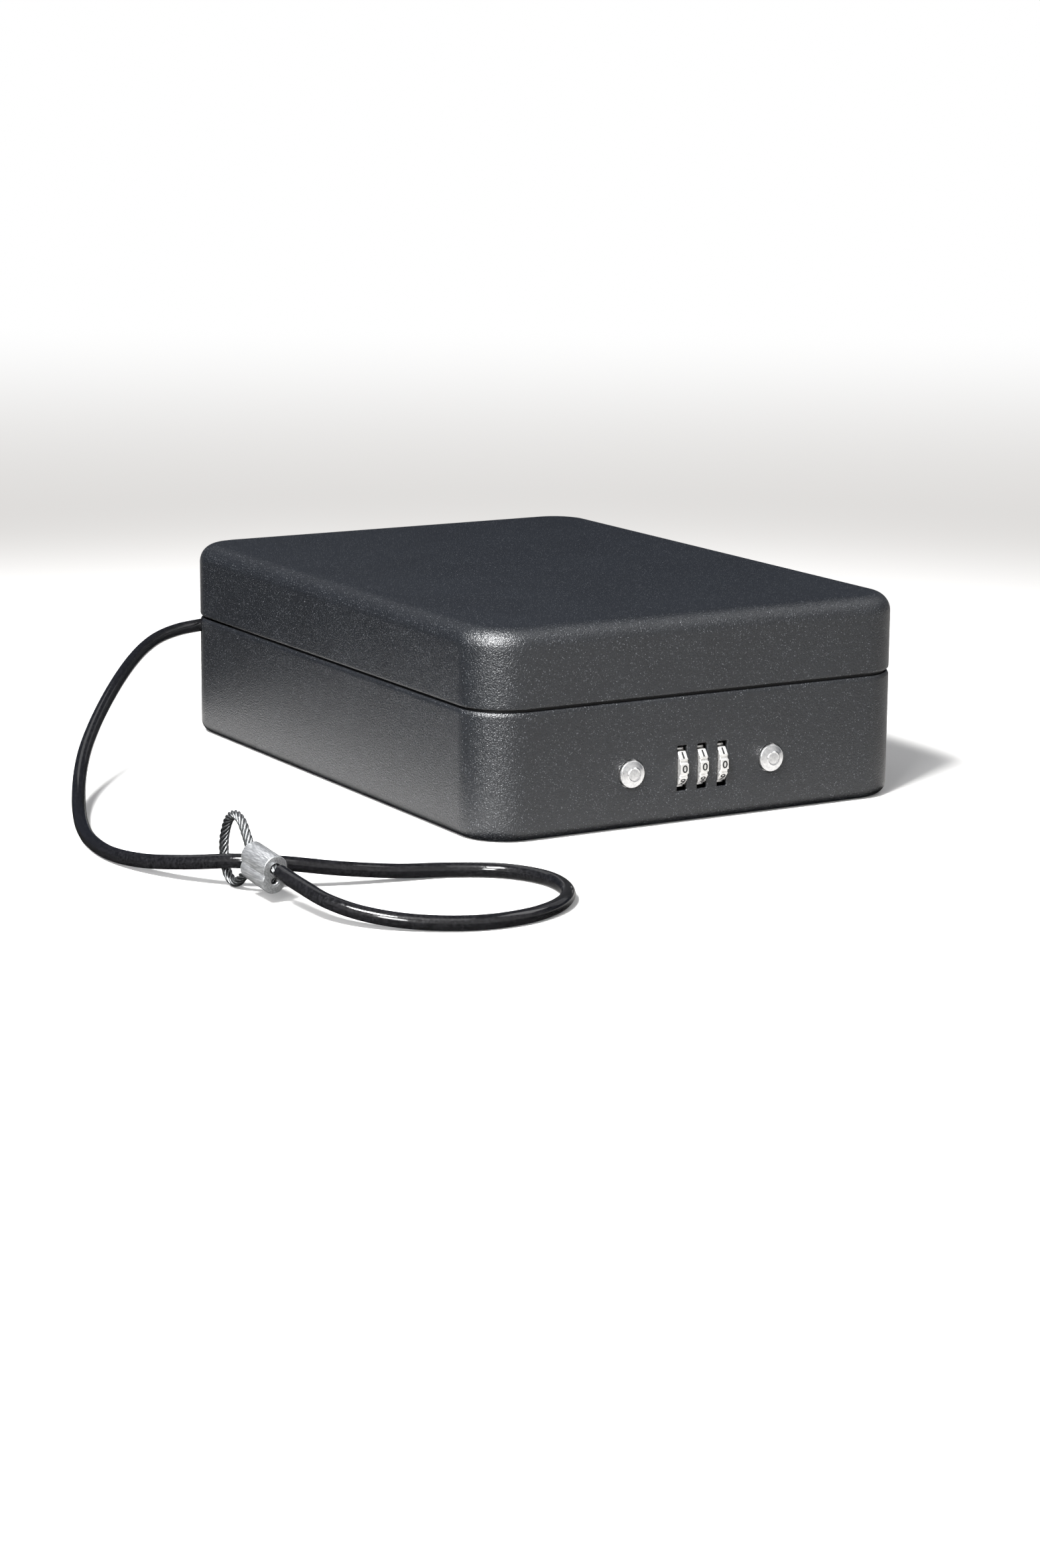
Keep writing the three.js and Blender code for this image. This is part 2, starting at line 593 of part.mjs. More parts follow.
// Cover over the lock: five-sided sheet box, open to the front wall, slotted for the strikers and the lever
function lockCover() {
  const half = frameHalf + lockFrame.earWidth + cover.sideMargin;
  const floor = box.wall + gap;
  const shell = block([-half, half], [coverFront, coverBack], [floor, coverTop]);
  const inside = block(
    [-half + cover.wall, half - cover.wall], [coverFront - overrun, coverInner],
    [floor + cover.wall, coverTop - cover.wall],
  );
  const strikerSlots = [-buttonX, buttonX].map((x) => block(
    [x - striker.width / 2 - cover.slotMargin, x + striker.width / 2 + cover.slotMargin],
    [coverFront - overrun, strikerBack + cover.slotMargin],
    [coverTop - cover.wall - overrun, coverTop + overrun],
  ));
  const holes = coverScrewX.map((x) => rodY(
    coverScrew.radius + gap, [coverInner - overrun, coverBack + overrun], x, coverScrewZ, smooth.small,
  ));
  const [left, right] = knobSpan;
  const leverSlot = block(
    [left - resetLever.travel - gap, right + gap], [coverInner - overrun, coverBack + overrun],
    [knobLevel - gap, knobLevel + resetLever.knobHeight + gap],
  );
  return cut(shell, inside, ...strikerSlots, ...holes, leverSlot);
}

function coverScrewPin(x) {
  const start = coverInner - coverScrew.length + cover.wall;
  const head = coverBack + gap;
  const end = head + coverScrew.headHeight;
  const edge = coverScrew.headHeight / 3;
  const screw = turnedY([
    [0, start], [coverScrew.radius, start], [coverScrew.radius, head], [coverScrew.headRadius, head],
    [coverScrew.headRadius, end - edge], [coverScrew.headRadius - edge, end], [0, end],
  ], x, coverScrewZ, smooth.small);
  const [arm, wide] = [coverScrew.headRadius / 2, coverScrew.recessWidth / 2];
  const deep = [end - coverScrew.recess, end + overrun];
  return cut(
    screw,
    block([x - arm, x + arm], deep, [coverScrewZ - wide, coverScrewZ + wide]),
    block([x - wide, x + wide], deep, [coverScrewZ - arm, coverScrewZ + arm]),
  );
}

// Reset lever: a plate behind the frame, a knob through the cover and a finger beside the first sleeve
const leverRight = -resetLever.fromCentre;
const knobSpan = [
  leverRight - resetLever.knobOffset - resetLever.knobWidth, leverRight - resetLever.knobOffset,
];
const knobLevel = dial.height - resetLever.plateDrop + resetLever.plateHeight / 2 + resetLever.knobRise / 3;

function resetLeverPlate() {
  const front = plateBack + gap;
  const back = front + resetLever.thickness;
  const bottom = dial.height - resetLever.plateDrop;
  const plate = block(
    [leverRight - resetLever.plateWidth, leverRight], [front, back],
    [bottom, bottom + resetLever.plateHeight],
  );
  const knob = block(
    knobSpan, [back - resetLever.thickness / 2, coverBack + resetLever.knobReach],
    [knobLevel, knobLevel + resetLever.knobHeight],
  );
  const finger = block(
    [fingerRight - resetLever.fingerWidth, fingerRight],
    [dialY + resetLever.fingerReach, front + resetLever.thickness / 2],
    [dial.height - resetLever.fingerHeight / 2, dial.height + resetLever.fingerHeight / 2],
  );
  return join(plate, knob, finger);
}

// Push button: domed head with a shallow ring, flange behind the wall, shoulder and stem
function pushButton(side) {
  const face = -halfDepth - button.proud;
  const flange = frontInner + gap;
  const shoulder = flange + button.flangeThickness;
  const stem = hookFront - gap;
  const end = plateBack + button.stemLength;
  const groove = clipFront - gap / 2;
  const dome = (radius) => face + button.domeRise * (radius / button.radius) ** 2;
  const ring = button.ringRadius;
  const edge = button.ringWidth / 2;
  return turnedY([
    [0, face + button.ringDepth], [ring - edge, dome(ring - edge) + button.ringDepth / 2],
    [ring, dome(ring) + button.ringDepth], [ring + edge, dome(ring + edge)],
    [(ring + button.radius) / 2, dome((ring + button.radius) / 2)],
    [button.radius - edge, dome(button.radius - edge)], [button.radius, dome(button.radius) + edge],
    [button.radius, flange], [button.flangeRadius, flange], [button.flangeRadius, shoulder],
    [button.shoulderRadius, shoulder], [button.shoulderRadius, stem], [button.stemRadius, stem],
    [button.stemRadius, groove], [button.grooveRadius, groove],
    [button.grooveRadius, groove + button.grooveWidth], [button.stemRadius, groove + button.grooveWidth],
    [button.stemRadius, end], [0, end],
  ], side * buttonX, dial.height);
}

// Catch: a spring steel strip on the stem. Its nose looks through the striker's window from behind.
function buttonCatch(side) {
  const x = side * buttonX;
  const under = striker.windowBottom + gap;
  const profile = outline([
    [hookBack, hook.bottom], [hookBack, catchTop], [hookFront, catchTop],
    [hookFront - hook.noseReach, under + hook.noseTip], [hookFront - hook.noseReach, under],
    [hookFront, under], [hookFront, hook.bottom],
  ]);
  const strip = prism(profile, 'x', [x - hook.width / 2, x + hook.width / 2]);
  const [from, to] = [hookFront - overrun, hookBack + overrun];
  const middle = combLevel + comb.thickness / 2;
  return cut(
    strip,
    rodY(button.stemRadius + gap, [from, to], x, dial.height),
    block(
      [x - hook.slotWidth / 2, x + hook.slotWidth / 2], [from, to],
      [middle - hook.slotHeight / 2, middle + hook.slotHeight / 2],
    ),
  );
}

// Striker: joggled plate spot-welded inside the lid, with the window that the catch holds
function lidStriker(side) {
  const x = side * buttonX;
  const flange = frontInner + gap;
  const top = lidEdge - striker.topMargin;
  const jogBottom = lipTop + striker.joggleRise;
  const jogTop = jogBottom + striker.joggleHeight;
  const profile = outline([
    [flange, top], [flange, jogTop], [strikerFront, jogBottom],
    [strikerFront, striker.bottom], [strikerBack, striker.bottom],
    [strikerBack, jogBottom + striker.thickness / 2],
    [flange + striker.thickness, jogTop + striker.thickness / 2], [flange + striker.thickness, top],
  ]);
  const plate = prism(profile, 'x', [x - striker.width / 2, x + striker.width / 2]);
  return cut(plate, block(
    [x - striker.windowWidth / 2, x + striker.windowWidth / 2],
    [strikerFront - overrun, strikerBack + overrun],
    [striker.windowBottom, striker.windowBottom + striker.windowHeight],
  ));
}

// A tube of a given section along a curve, closed at both ends
function tube(curve, radius, sides, steps) {
  const section = outline(Array.from({ length: sides }, (_, k) => {
    const angle = (2 * Math.PI * k) / sides;
    return [radius * Math.cos(angle), radius * Math.sin(angle)];
  }));
  return new THREE.ExtrudeGeometry(section, { steps, bevelEnabled: false, extrudePath: curve });
}

// Return spring round a stem, between the catch and the frame's plate
class CoilCurve extends THREE.Curve {
  constructor(x, from, to) {
    super();
    Object.assign(this, { x, from, to });
  }

  getPoint(t, target = new THREE.Vector3()) {
    const angle = 2 * Math.PI * coil.turns * t;
    const across = coil.radius * Math.cos(angle);
    const rise = coil.radius * Math.sin(angle);
    return target.set(this.x + across, this.from + (this.to - this.from) * t, dial.height + rise);
  }
}

function buttonSpring(side) {
  const inset = coil.wireRadius + gap;
  const curve = new CoilCurve(side * buttonX, hookBack + inset, plateFront - inset);
  return tube(curve, coil.wireRadius, coil.sides, coil.turns * coil.stepsPerTurn);
}

// Hinge: odd knuckles on the base leaf, even ones on the lid leaf
function hingeLeaf(isLid) {
  const pitch = hinge.length / hinge.knuckles;
  const [y, z] = [halfDepth, box.seamHeight];
  const inner = y - hinge.barrelRadius;
  const clear = hinge.barrelRadius + gap;
  const sign = isLid ? 1 : -1;
  const span = (near, far) => (isLid ? [z + near, z + far] : [z - far, z - near]);
  const half = hinge.length / 2 - hinge.knuckleGap / 2;
  const depth = [inner, inner + hinge.leafThickness];
  const height = isLid ? lidEdge - hinge.topMargin - z : hinge.leafHeight;
  const plate = block([-half, half], depth, span(clear, height));
  const mine = Array.from({ length: hinge.knuckles }, (_, k) => k).filter((k) => (k % 2 === 1) === isLid);
  const spans = mine.map((k) => [
    -hinge.length / 2 + k * pitch + hinge.knuckleGap / 2,
    -hinge.length / 2 + (k + 1) * pitch - hinge.knuckleGap / 2,
  ]);
  const barrels = spans.map((x) => rodX(hinge.barrelRadius, x, y, z));
  const straps = spans.map((x) => block(x, depth, sign > 0 ? [z, z + clear + gap] : [z - clear - gap, z]));
  const bore = rodX(hinge.pinRadius + gap, [-hinge.length, hinge.length], y, z, smooth.small);
  return cut(join(plate, ...straps, ...barrels), bore);
}

function hingePin() {
  const half = hinge.length / 2 - hinge.pinRecess;
  return rodX(hinge.pinRadius, [-half, half], halfDepth, box.seamHeight, smooth.small);
}

// Place of an eye: its centre, then the way from its tip to the cable and from its tail to its live side
function eyeFrame({ x, y, headingDegrees, tiltDegrees }, height, flat) {
  const heading = THREE.MathUtils.degToRad(headingDegrees);
  const tilt = THREE.MathUtils.degToRad(tiltDegrees);
  const along = new THREE.Vector3(
    Math.cos(heading) * Math.cos(tilt), Math.sin(heading) * Math.cos(tilt), Math.sin(tilt),
  );
  const level = new THREE.Vector3(-Math.sin(heading), Math.cos(heading), 0);
  const up = flat ? level.clone().negate() : new THREE.Vector3().crossVectors(along, level);
  const side = new THREE.Vector3().crossVectors(along, up);
  const matrix = new THREE.Matrix4().makeBasis(along, up, side).setPosition(atNotch(x, y, height));
  return { matrix, at: (a, b) => new THREE.Vector3(a, b, 0).applyMatrix4(matrix) };
}

const floorLevel = box.wall + gap + liner.thickness;
const outerFrame = eyeFrame(outerEye, outerEye.height, false);
const innerFrame = eyeFrame(innerEye, floorLevel + gap + ferrule.barrelRadius, true);
const tipInside = eye.reach - rope.coreRadius;
const postAt = innerFrame.at(-tipInside + post.radius + gap, 0);
const postX = postAt.x;
const postY = postAt.y;

// Bare rope: tail in the lower barrel, round the eye, back through the upper barrel to the jacket.
// Shares are of the eye's reach beyond its centre, or of its neck on the near side, and of half its height.
const eyeShares = [
  [0.56, -0.58], [0.12, -0.93], [-0.36, -0.98], [-0.79, -0.68], [-1, 0],
  [-0.79, 0.68], [-0.36, 0.98], [0.12, 0.93], [0.56, 0.58],
];

function eyeRope(frame) {
  const half = ferrule.barrelPitch / 2;
  const mouth = eye.neck;
  const bare = mouth + ferrule.length + ferrule.bareLength - gap;
  const tail = mouth + ferrule.length - ferrule.tailShort;
  const loop = eyeShares.map(([a, b]) => [a > 0 ? a * eye.neck : a * eye.reach, b * eye.halfHeight]);
  const points = [
    [tail, -half], [(tail + mouth) / 2, -half], [mouth + rope.coreRadius, -half], [mouth - gap, -half],
    ...loop, [mouth - gap, half], [mouth + rope.coreRadius, half], [mouth + ferrule.length / 2, half],
    [mouth + ferrule.length, half], [bare, half],
  ].map(([a, b]) => frame.at(a, b));
  const curve = new THREE.CatmullRomCurve3(points, false, 'centripetal');
  return tube(curve, rope.coreRadius, rope.coreSides, rope.eyeSteps);
}

// Ferrule: two barrels side by side in one aluminium sleeve, bored for both strands
function ferruleSleeve(frame) {
  const half = ferrule.barrelPitch / 2;
  const radius = ferrule.barrelRadius;
  const meet = Math.asin(half / radius);
  const shape = new THREE.Shape();
  shape.absarc(0, half, radius, -meet, Math.PI + meet, false);
  shape.absarc(0, -half, radius, Math.PI - meet, Math.PI * 2 + meet, false);
  [half, -half].forEach((centre) => {
    const bore = new THREE.Path();
    bore.absarc(0, centre, rope.coreRadius + gap, 0, Math.PI * 2, true);
    shape.holes.push(bore);
  });
  const geometry = new THREE.ExtrudeGeometry(shape, {
    depth: ferrule.length, bevelEnabled: false, curveSegments: smooth.small,
  });
  const turn = new THREE.Matrix4().makeBasis(
    new THREE.Vector3(0, 0, -1), new THREE.Vector3(0, 1, 0), new THREE.Vector3(1, 0, 0),
  );
  return geometry.applyMatrix4(turn).translate(eye.neck, 0, 0).applyMatrix4(frame.matrix);
}

const jacketStart = eye.neck + ferrule.length + ferrule.bareLength;
function jacket(start, route, frame, steps) {
  const end = frame.at(jacketStart, ferrule.barrelPitch / 2);
  const middle = route.places.map(([x, y], k) => atNotch(x, y, risen(route.riseShares[k])));
  const points = [start, ...middle, end];
  const curve = new THREE.CatmullRomCurve3(points, false, 'catmullrom', smooth.tension);
  return tube(curve, rope.jacketRadius, rope.jacketSides, steps);
}

function freeCable() {
  const start = new THREE.Vector3(notchX + box.wall, notchY, notchZ);
  return jacket(start, freeRoute, outerFrame, rope.jacketSteps);
}

function heldCable() {
  const start = new THREE.Vector3(notchX + box.wall + 3 * gap, notchY, notchZ);
  return jacket(start, innerRoute, innerFrame, rope.innerSteps);
}

// Anchor post: welded foot, shank and a head that the inner eye is slipped over
function anchorPost() {
  const floor = box.wall + gap;
  const top = floor + post.height + post.headHeight;
  const foot = floor + post.footHeight;
  const neck = floor + post.height;
  const bevel = post.headHeight / 2;
  const profile = [
    [0, floor], [post.footRadius, floor], [post.footRadius, foot], [post.radius, foot], [post.radius, neck],
    [post.headRadius, neck], [post.headRadius, top - bevel], [post.headRadius - bevel, top], [0, top],
  ].map(([radius, along]) => new THREE.Vector2(radius, along));
  return new THREE.LatheGeometry(profile, smooth.round).rotateX(Math.PI / 2).translate(postX, postY, 0);
}

// Finishes
const finish = {
  paint: { color: 0x3a3d42, roughness: 0.62, metalness: 0.3 },
  steel: { color: 0x9a9c9e, roughness: 0.4, metalness: 1 },
  blackSteel: { color: 0x232426, roughness: 0.5, metalness: 0.6 },
  springSteel: { color: 0x6c6f74, roughness: 0.35, metalness: 1 },
  nickel: { color: 0xc9c8c4, roughness: 0.25, metalness: 1 },
  chrome: { color: 0xdcdddf, roughness: 0.12, metalness: 1 },
  brass: { color: 0xb8944e, roughness: 0.35, metalness: 1 },
  aluminium: { color: 0xc4c6c8, roughness: 0.4, metalness: 1 },
  rope: { color: 0x8d8f90, roughness: 0.45, metalness: 1 },
  jacket: { color: 0x141415, roughness: 0.22, metalness: 0 },
  foam: { color: 0x1c1c1e, roughness: 0.95, metalness: 0 },
};

const safe = new THREE.Group();

function add(parent, name, geometry, look) {
  const mesh = new THREE.Mesh(geometry, new THREE.MeshStandardMaterial(finish[look]));
  mesh.name = name;
  parent.add(mesh);
}

const base = new THREE.Group();
const lid = new THREE.Group();
const lock = new THREE.Group();
const tether = new THREE.Group();
safe.add(base, lid, lock, tether);

add(base, 'base_shell', baseShell(), 'paint');
add(base, 'base_lip', innerLip(), 'blackSteel');
add(base, 'base_liner', baseLiner(), 'foam');
add(base, 'hinge_leaf_base', hingeLeaf(false), 'steel');
add(base, 'hinge_pin', hingePin(), 'steel');
add(base, 'anchor_post', anchorPost(), 'steel');

add(lid, 'lid_shell', lidShell(), 'paint');
add(lid, 'lid_liner', lidLiner(), 'foam');
add(lid, 'hinge_leaf_lid', hingeLeaf(true), 'steel');

add(lock, 'lock_frame', lockFrameSheet(), 'steel');
add(lock, 'lock_cover', lockCover(), 'blackSteel');
add(lock, 'dial_bracket', dialBracket(), 'steel');
add(lock, 'dial_spindle', dialSpindle(), 'steel');
add(lock, 'detent_spring', detentSpring(), 'springSteel');
add(lock, 'locking_comb', lockingComb(), 'springSteel');
add(lock, 'reset_lever', resetLeverPlate(), 'steel');

[['left', -1], ['right', 1]].forEach(([hand, side]) => {
  add(lid, `striker_${hand}`, lidStriker(side), 'steel');
  add(lock, `button_${hand}`, pushButton(side), 'chrome');
  add(lock, `catch_${hand}`, buttonCatch(side), 'springSteel');
  add(lock, `button_spring_${hand}`, buttonSpring(side), 'springSteel');
  add(lock, `stem_clip_${hand}`, stemClip(side), 'springSteel');
  add(lock, `spindle_clip_${hand}`, spindleClip(side), 'springSteel');
  add(lock, `weld_stud_${hand}`, weldStudPin(side), 'steel');
  add(lock, `stud_nut_${hand}`, studNut(side), 'steel');
  add(lock, `cover_screw_${hand}`, coverScrewPin(side * coverScrewX[1]), 'steel');
  add(lock, `detent_rivet_${hand}`, sheetRivet(side * rivet.spacing / 2, rivetLevels.detent), 'steel');
  add(lock, `comb_rivet_${hand}`, sheetRivet(side * rivet.spacing / 2, rivetLevels.comb), 'steel');
});

for (let index = 0; index < dial.count; index += 1) {
  add(lock, `dial_${index + 1}`, dialWheel(index), 'nickel');
  add(lock, `cam_sleeve_${index + 1}`, camSleeve(index), 'brass');
}

add(tether, 'cable_free', freeCable(), 'jacket');
add(tether, 'ferrule_outer', ferruleSleeve(outerFrame), 'aluminium');
add(tether, 'eye_outer', eyeRope(outerFrame), 'rope');
add(tether, 'cable_inside', heldCable(), 'jacket');
add(tether, 'ferrule_inside', ferruleSleeve(innerFrame), 'aluminium');
add(tether, 'eye_inside', eyeRope(innerFrame), 'rope');

export default safe;
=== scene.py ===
"""Portable lock box: its pressed steel shells, three-dial lock, hinge, pads and tether, dressed over the frame."""

import json
import math

import bmesh
import bpy
import numpy as np
from bpy.props import FloatProperty, FloatVectorProperty, PointerProperty
from mathutils import Matrix, Vector
from mathutils.geometry import delaunay_2d_cdt


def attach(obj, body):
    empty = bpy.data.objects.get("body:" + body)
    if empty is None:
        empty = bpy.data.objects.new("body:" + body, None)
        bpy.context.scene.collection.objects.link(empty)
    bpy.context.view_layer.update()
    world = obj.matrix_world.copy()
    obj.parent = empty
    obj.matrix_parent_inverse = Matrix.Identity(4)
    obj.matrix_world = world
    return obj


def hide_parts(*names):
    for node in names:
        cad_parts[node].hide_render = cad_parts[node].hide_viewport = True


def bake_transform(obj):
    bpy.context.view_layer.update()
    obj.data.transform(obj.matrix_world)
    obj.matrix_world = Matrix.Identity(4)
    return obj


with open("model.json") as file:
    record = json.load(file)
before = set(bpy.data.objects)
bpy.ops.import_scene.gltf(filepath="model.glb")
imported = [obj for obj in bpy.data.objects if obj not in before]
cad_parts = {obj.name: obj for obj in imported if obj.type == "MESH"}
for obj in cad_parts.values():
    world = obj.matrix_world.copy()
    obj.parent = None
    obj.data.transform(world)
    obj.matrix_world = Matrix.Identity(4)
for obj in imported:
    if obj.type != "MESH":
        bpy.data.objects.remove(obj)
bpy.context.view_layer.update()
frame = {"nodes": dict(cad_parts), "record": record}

bl_info = {
    "name": "Portable lock box",
    "version": (1, 0, 0),
    "blender": (4, 5, 0),
    "location": "3D View > Sidebar > Lock box",
    "description": "Makes the dressed surfaces, finishes and stage of a portable lock box",
    "category": "Object",
}

MM = 0.001
SLOT_OF = {part["node"]: part["material_slot"] for part in frame["record"]["subparts"]}
BODY_OF = {
    node: body for body, nodes in frame["record"]["behaviour"]["bodies"].items() for node in nodes
}
# Each hand's name and its side along X
HANDS = (("left", -1), ("right", 1))

# Real sizes in millimetres, the same as in the solids but for the dials' grooves and figures
HALF_WIDTH = 90.0
HALF_DEPTH = 121.5
HEIGHT = 75.5
CORNER = 18.5
WALL = 1.2
BASE_RIM_ROUND = (0.95, 1.9)
LID_RIM_ROUND = (0.6, 1.0)
BASE_EDGE = 4.5
LID_EDGE = 7.0
SEAM = 46.8
BASE_RIM = 46.3
LID_RIM = 47.3
LIP_INSET = 1.5
LIP_WALL = 1.2
LIP_REAR = 80.3
LIP_HEIGHTS = (38.0, 51.5)
HINGE_NOTCH = 55.3
HINGE_REACH = 2.8
HINGE_AXIS = (121.5, 46.8)
HINGE_HALF = 54.8
HINGE_LENGTH = 110.0
HINGE_KNUCKLES = 5
KNUCKLE_GAP = 0.2
BARREL_RADIUS = 2.5
LEAF_THICKNESS = 1.0
POST_PLACE = (9.2, 83.8)
LOCK_X = 13.0
STUD_X = 46.0
NOTCH_PLACE = (-90.0, 109.5, 43.2)
NOTCH_RADIUS = 2.8
DIAL_PITCH = 8.5
DIAL_THICKNESS = 3.4
DIAL_RADIUS = 8.1
DIAL_GROOVE = 0.6
DIAL_FACE_SHARE = 0.72
DIAL_GROOVE_SHARE = 0.2
DIAL_BORE = 3.2
DIAL_AXIS = (-115.4, 20.2)
DIAL_STEP = math.radians(36)
FIGURE_SIZE = 3.45
SLOT_SIZE = (4.0, 16.5)
BUTTON_X = 29.6
BUTTON_HOLE = 5.3
PANEL_X = 38.5
PANEL_Z = (9.0, 31.5)
CABLE_RADIUS = 2.5

# Where the button springs' still and moving ends lie in y
SPRING_ENDS = (-105.6, -114.2)

# The free cable starts this far inside the wall, and the inner stretch this far behind it. In an eye, the
# jacket ends at this place along and up, and the sleeve's two ends lie this far along
CABLE_INSET = 2.38
CABLE_GAP = 0.9
JACKET_END = (27.6, 2.1)
FERRULE_ENDS = (9.6, 24.6)

# The cable's route, as in the solids: x and y from the foot of the wall below the notch, then the rise as a
# share of the way from the cable at rest on the floor to the notch
FREE_ROUTE = np.array([
    [-9, -1.7, 0.9803], [-20, -6.9, 0.9459], [-30.5, -15.9, 0.8968], [-40.8, -27.1, 0.8329],
    [-50.8, -39.1, 0.7568], [-60.4, -51.1, 0.6683], [-69.4, -62.5, 0.5676], [-77.8, -73.5, 0.457],
    [-85.6, -84.7, 0.3415], [-92.8, -96.9, 0.2236], [-99.6, -110.9, 0.1179], [-106.6, -127.5, 0.0418],
    [-113.4, -146.5, 0.0074], [-118.6, -166.5, 0.0025], [-120.4, -187, 0.0074], [-117.4, -207, 0.0418],
    [-110.4, -225.5, 0.1057], [-99.5, -241.5, 0.1695], [-85.1, -249.6, 0.1499], [-67.8, -254.7, 0.086],
    [-48.6, -257.9, 0.027], [-29.8, -261.5, 0.0025], [-14.5, -271.5, 0.0025], [-7.1, -287.6, 0.0025],
    [-10.3, -305.4, 0.0025], [-21.8, -319.4, 0.0025], [-38.2, -327.1, 0.0025], [-56.6, -326.7, 0.0025],
    [-73.5, -318.1, 0.0123], [-85.8, -307.5, 0.0516], [-93.2, -295.8, 0.1106], [-96.2, -283, 0.1744],
])
INNER_ROUTE = np.array([
    [11, -0.5, 0.9853], [22, -3.1, 0.8821], [30.5, -7.5, 0.715],
    [38, -12.5, 0.5184], [46.5, -17.5, 0.3366], [57, -20.9, 0.2187],
])


# ---------------------------------------------------------------- surfaces

def grid_faces(rows, columns, closed=False):
    """Cells between rings of points, as quads of point numbers. The columns join round, and the last row joins
    the first where closed."""
    row, column = np.meshgrid(np.arange(rows if closed else rows - 1), np.arange(columns), indexing="ij")
    next_row, next_column = (row + 1) % rows, (column + 1) % columns
    corners = [row * columns + column, row * columns + next_column,
               next_row * columns + next_column, next_row * columns + column]
    return np.stack(corners, -1).reshape(-1, 4)


def skin(rings, closed=False, capped=True):
    """Rings of points (ring, point, 3), joined into one skin: the last ring to the first where closed, or else a
    cap at each end where capped."""
    count, around = rings.shape[:2]
    faces = grid_faces(count, around, closed).tolist()
    if capped and not closed:
        faces += [list(range(around))[::-1], list(range((count - 1) * around, count * around))]
    return rings.reshape(-1, 3), faces


def joined(parts):
    """Several (points, faces) as one: each part's point numbers are moved past those before it."""
    points = np.concatenate([part[0] for part in parts])
    starts = np.cumsum([0] + [len(part[0]) for part in parts])
    faces = [[number + start for number in face] for part, start in zip(parts, starts) for face in part[1]]
    return points, faces


def side_by_side(*axes):
    """Points from their coordinates, each of them an array or one number for all the points."""
    return np.stack(np.broadcast_arrays(*axes), -1)


def heading(turn):
    """The direction (cosine, sine) of each angle in radians."""
    return np.stack([np.cos(turn), np.sin(turn)], -1)


def arc(centre, radius, start, end, steps):
    """Points on a circle: centre plus radius times (cosine, sine) of equal angles in degrees."""
    return np.asarray(centre) + radius * heading(np.radians(np.linspace(start, end, steps + 1)))


def circle(centre, radius, steps):
    """Points evenly round a whole circle."""
    return arc(centre, radius, 0, 360, steps)[:-1]


def rounded_corners(corners, radii, steps):
    """A closed polygon with its corners rounded: each is a quadratic curve between the points on its two sides
    that lie its radius away, so point = (1-t)^2 before + 2t(1-t) corner + t^2 after."""
    corners = np.asarray(corners, float)
    radii = np.broadcast_to(radii, len(corners))[:, None]
    before = np.roll(corners, 1, 0) - corners
    after = np.roll(corners, -1, 0) - corners
    before *= radii / np.linalg.norm(before, axis=1, keepdims=True)
    after *= radii / np.linalg.norm(after, axis=1, keepdims=True)
    share = np.linspace(0, 1, steps + 1)[None, :, None]
    curve = (1 - share) ** 2 * before[:, None] + share ** 2 * after[:, None]
    return (corners[:, None] + curve).reshape(-1, 2)


def unit(vectors):
    """Each vector over its own length."""
    return vectors / np.linalg.norm(vectors, axis=-1, keepdims=True)


def inset_outline(points, inset):
    """A closed counter-clockwise outline moved inwards: each point by inset along the mean of its sides' normals."""
    side = unit(np.roll(points, -1, 0) - points)
    outward = side_by_side(side[:, 1], -side[:, 0])
    mean = outward + np.roll(outward, 1, 0)
    mean /= np.maximum(np.sum(mean * mean, 1, keepdims=True) / 2, 0.3)
    return points - mean * inset


def turned(profile, steps, spot, axis):
    """A turned form: profile (radius, along), from the axis out and back to it, spun round an axis through spot.
    Point = spot + along * axis + radius * (cosine, sine) of the turn in the plane across it. Each end is one
    point with a fan of triangles round it."""
    turn = np.linspace(0, 2 * math.pi, steps, endpoint=False)
    spot, axis, profile = (np.asarray(one, float) for one in (spot, axis, profile))
    across = np.array([0.0, 0.0, 1.0]) if abs(axis[2]) < 0.5 else np.array([1.0, 0.0, 0.0])
    radial = np.cos(turn)[:, None] * across + np.sin(turn)[:, None] * np.cross(axis, across)
    rings = spot + profile[1:-1, None, 1:] * axis + profile[1:-1, None, :1] * radial
    points, faces = skin(rings, capped=False)
    ring, tip = np.arange(steps), len(points)
    after, last = np.roll(ring, -1), tip - steps
    faces += side_by_side(tip, after, ring).tolist() + side_by_side(last + ring, last + after, tip + 1).tolist()
    return np.concatenate([points, spot + profile[[0, -1], 1:] * axis]), faces


def swept(path, reference, section):
    """A section carried along a path, with flat ends. At each point the side runs across the tangent and the
    reference, and the up across both, so point = path + side * section x + up * section y."""
    tangent = unit(np.gradient(path, axis=0))
    side = unit(np.cross(tangent, reference))
    up = np.cross(side, tangent)
    rings = path[:, None] + side[:, None] * section[:, :1] + up[:, None] * section[:, 1:]
    return skin(rings[:, ::-1])


def catmull_rom(points, steps):
    """A smooth curve through points: each stretch is the cubic with half the way between its neighbours as its
    slope at each end."""
    ends = np.concatenate([[2 * points[0] - points[1]], points, [2 * points[-1] - points[-2]]])
    share = np.linspace(0, 1, steps, endpoint=False)[None, :, None]
    here, there = points[:-1, None], points[1:, None]
    slope_here, slope_there = (ends[2:-1] - ends[:-3])[:, None] / 2, (ends[3:] - ends[1:-2])[:, None] / 2
    cubic = (2 * here - 2 * there + slope_here + slope_there) * share ** 3
    square = (3 * there - 3 * here - 2 * slope_here - slope_there) * share ** 2
    curve = (cubic + square + slope_here * share + here).reshape(-1, 3)
    return np.concatenate([curve, points[-1:]])


def lengths_along(path):
    """How far along the path each of its points lies."""
    return np.concatenate([[0], np.cumsum(np.linalg.norm(np.diff(path, axis=0), axis=1))])


def even_path(path, step):
    """A path with its points the same distance apart, read off by length along it."""
    reach = lengths_along(path)
    places = np.linspace(0, reach[-1], max(2, int(round(reach[-1] / step)) + 1))
    return np.stack([np.interp(places, reach, path[:, axis]) for axis in range(3)], -1)


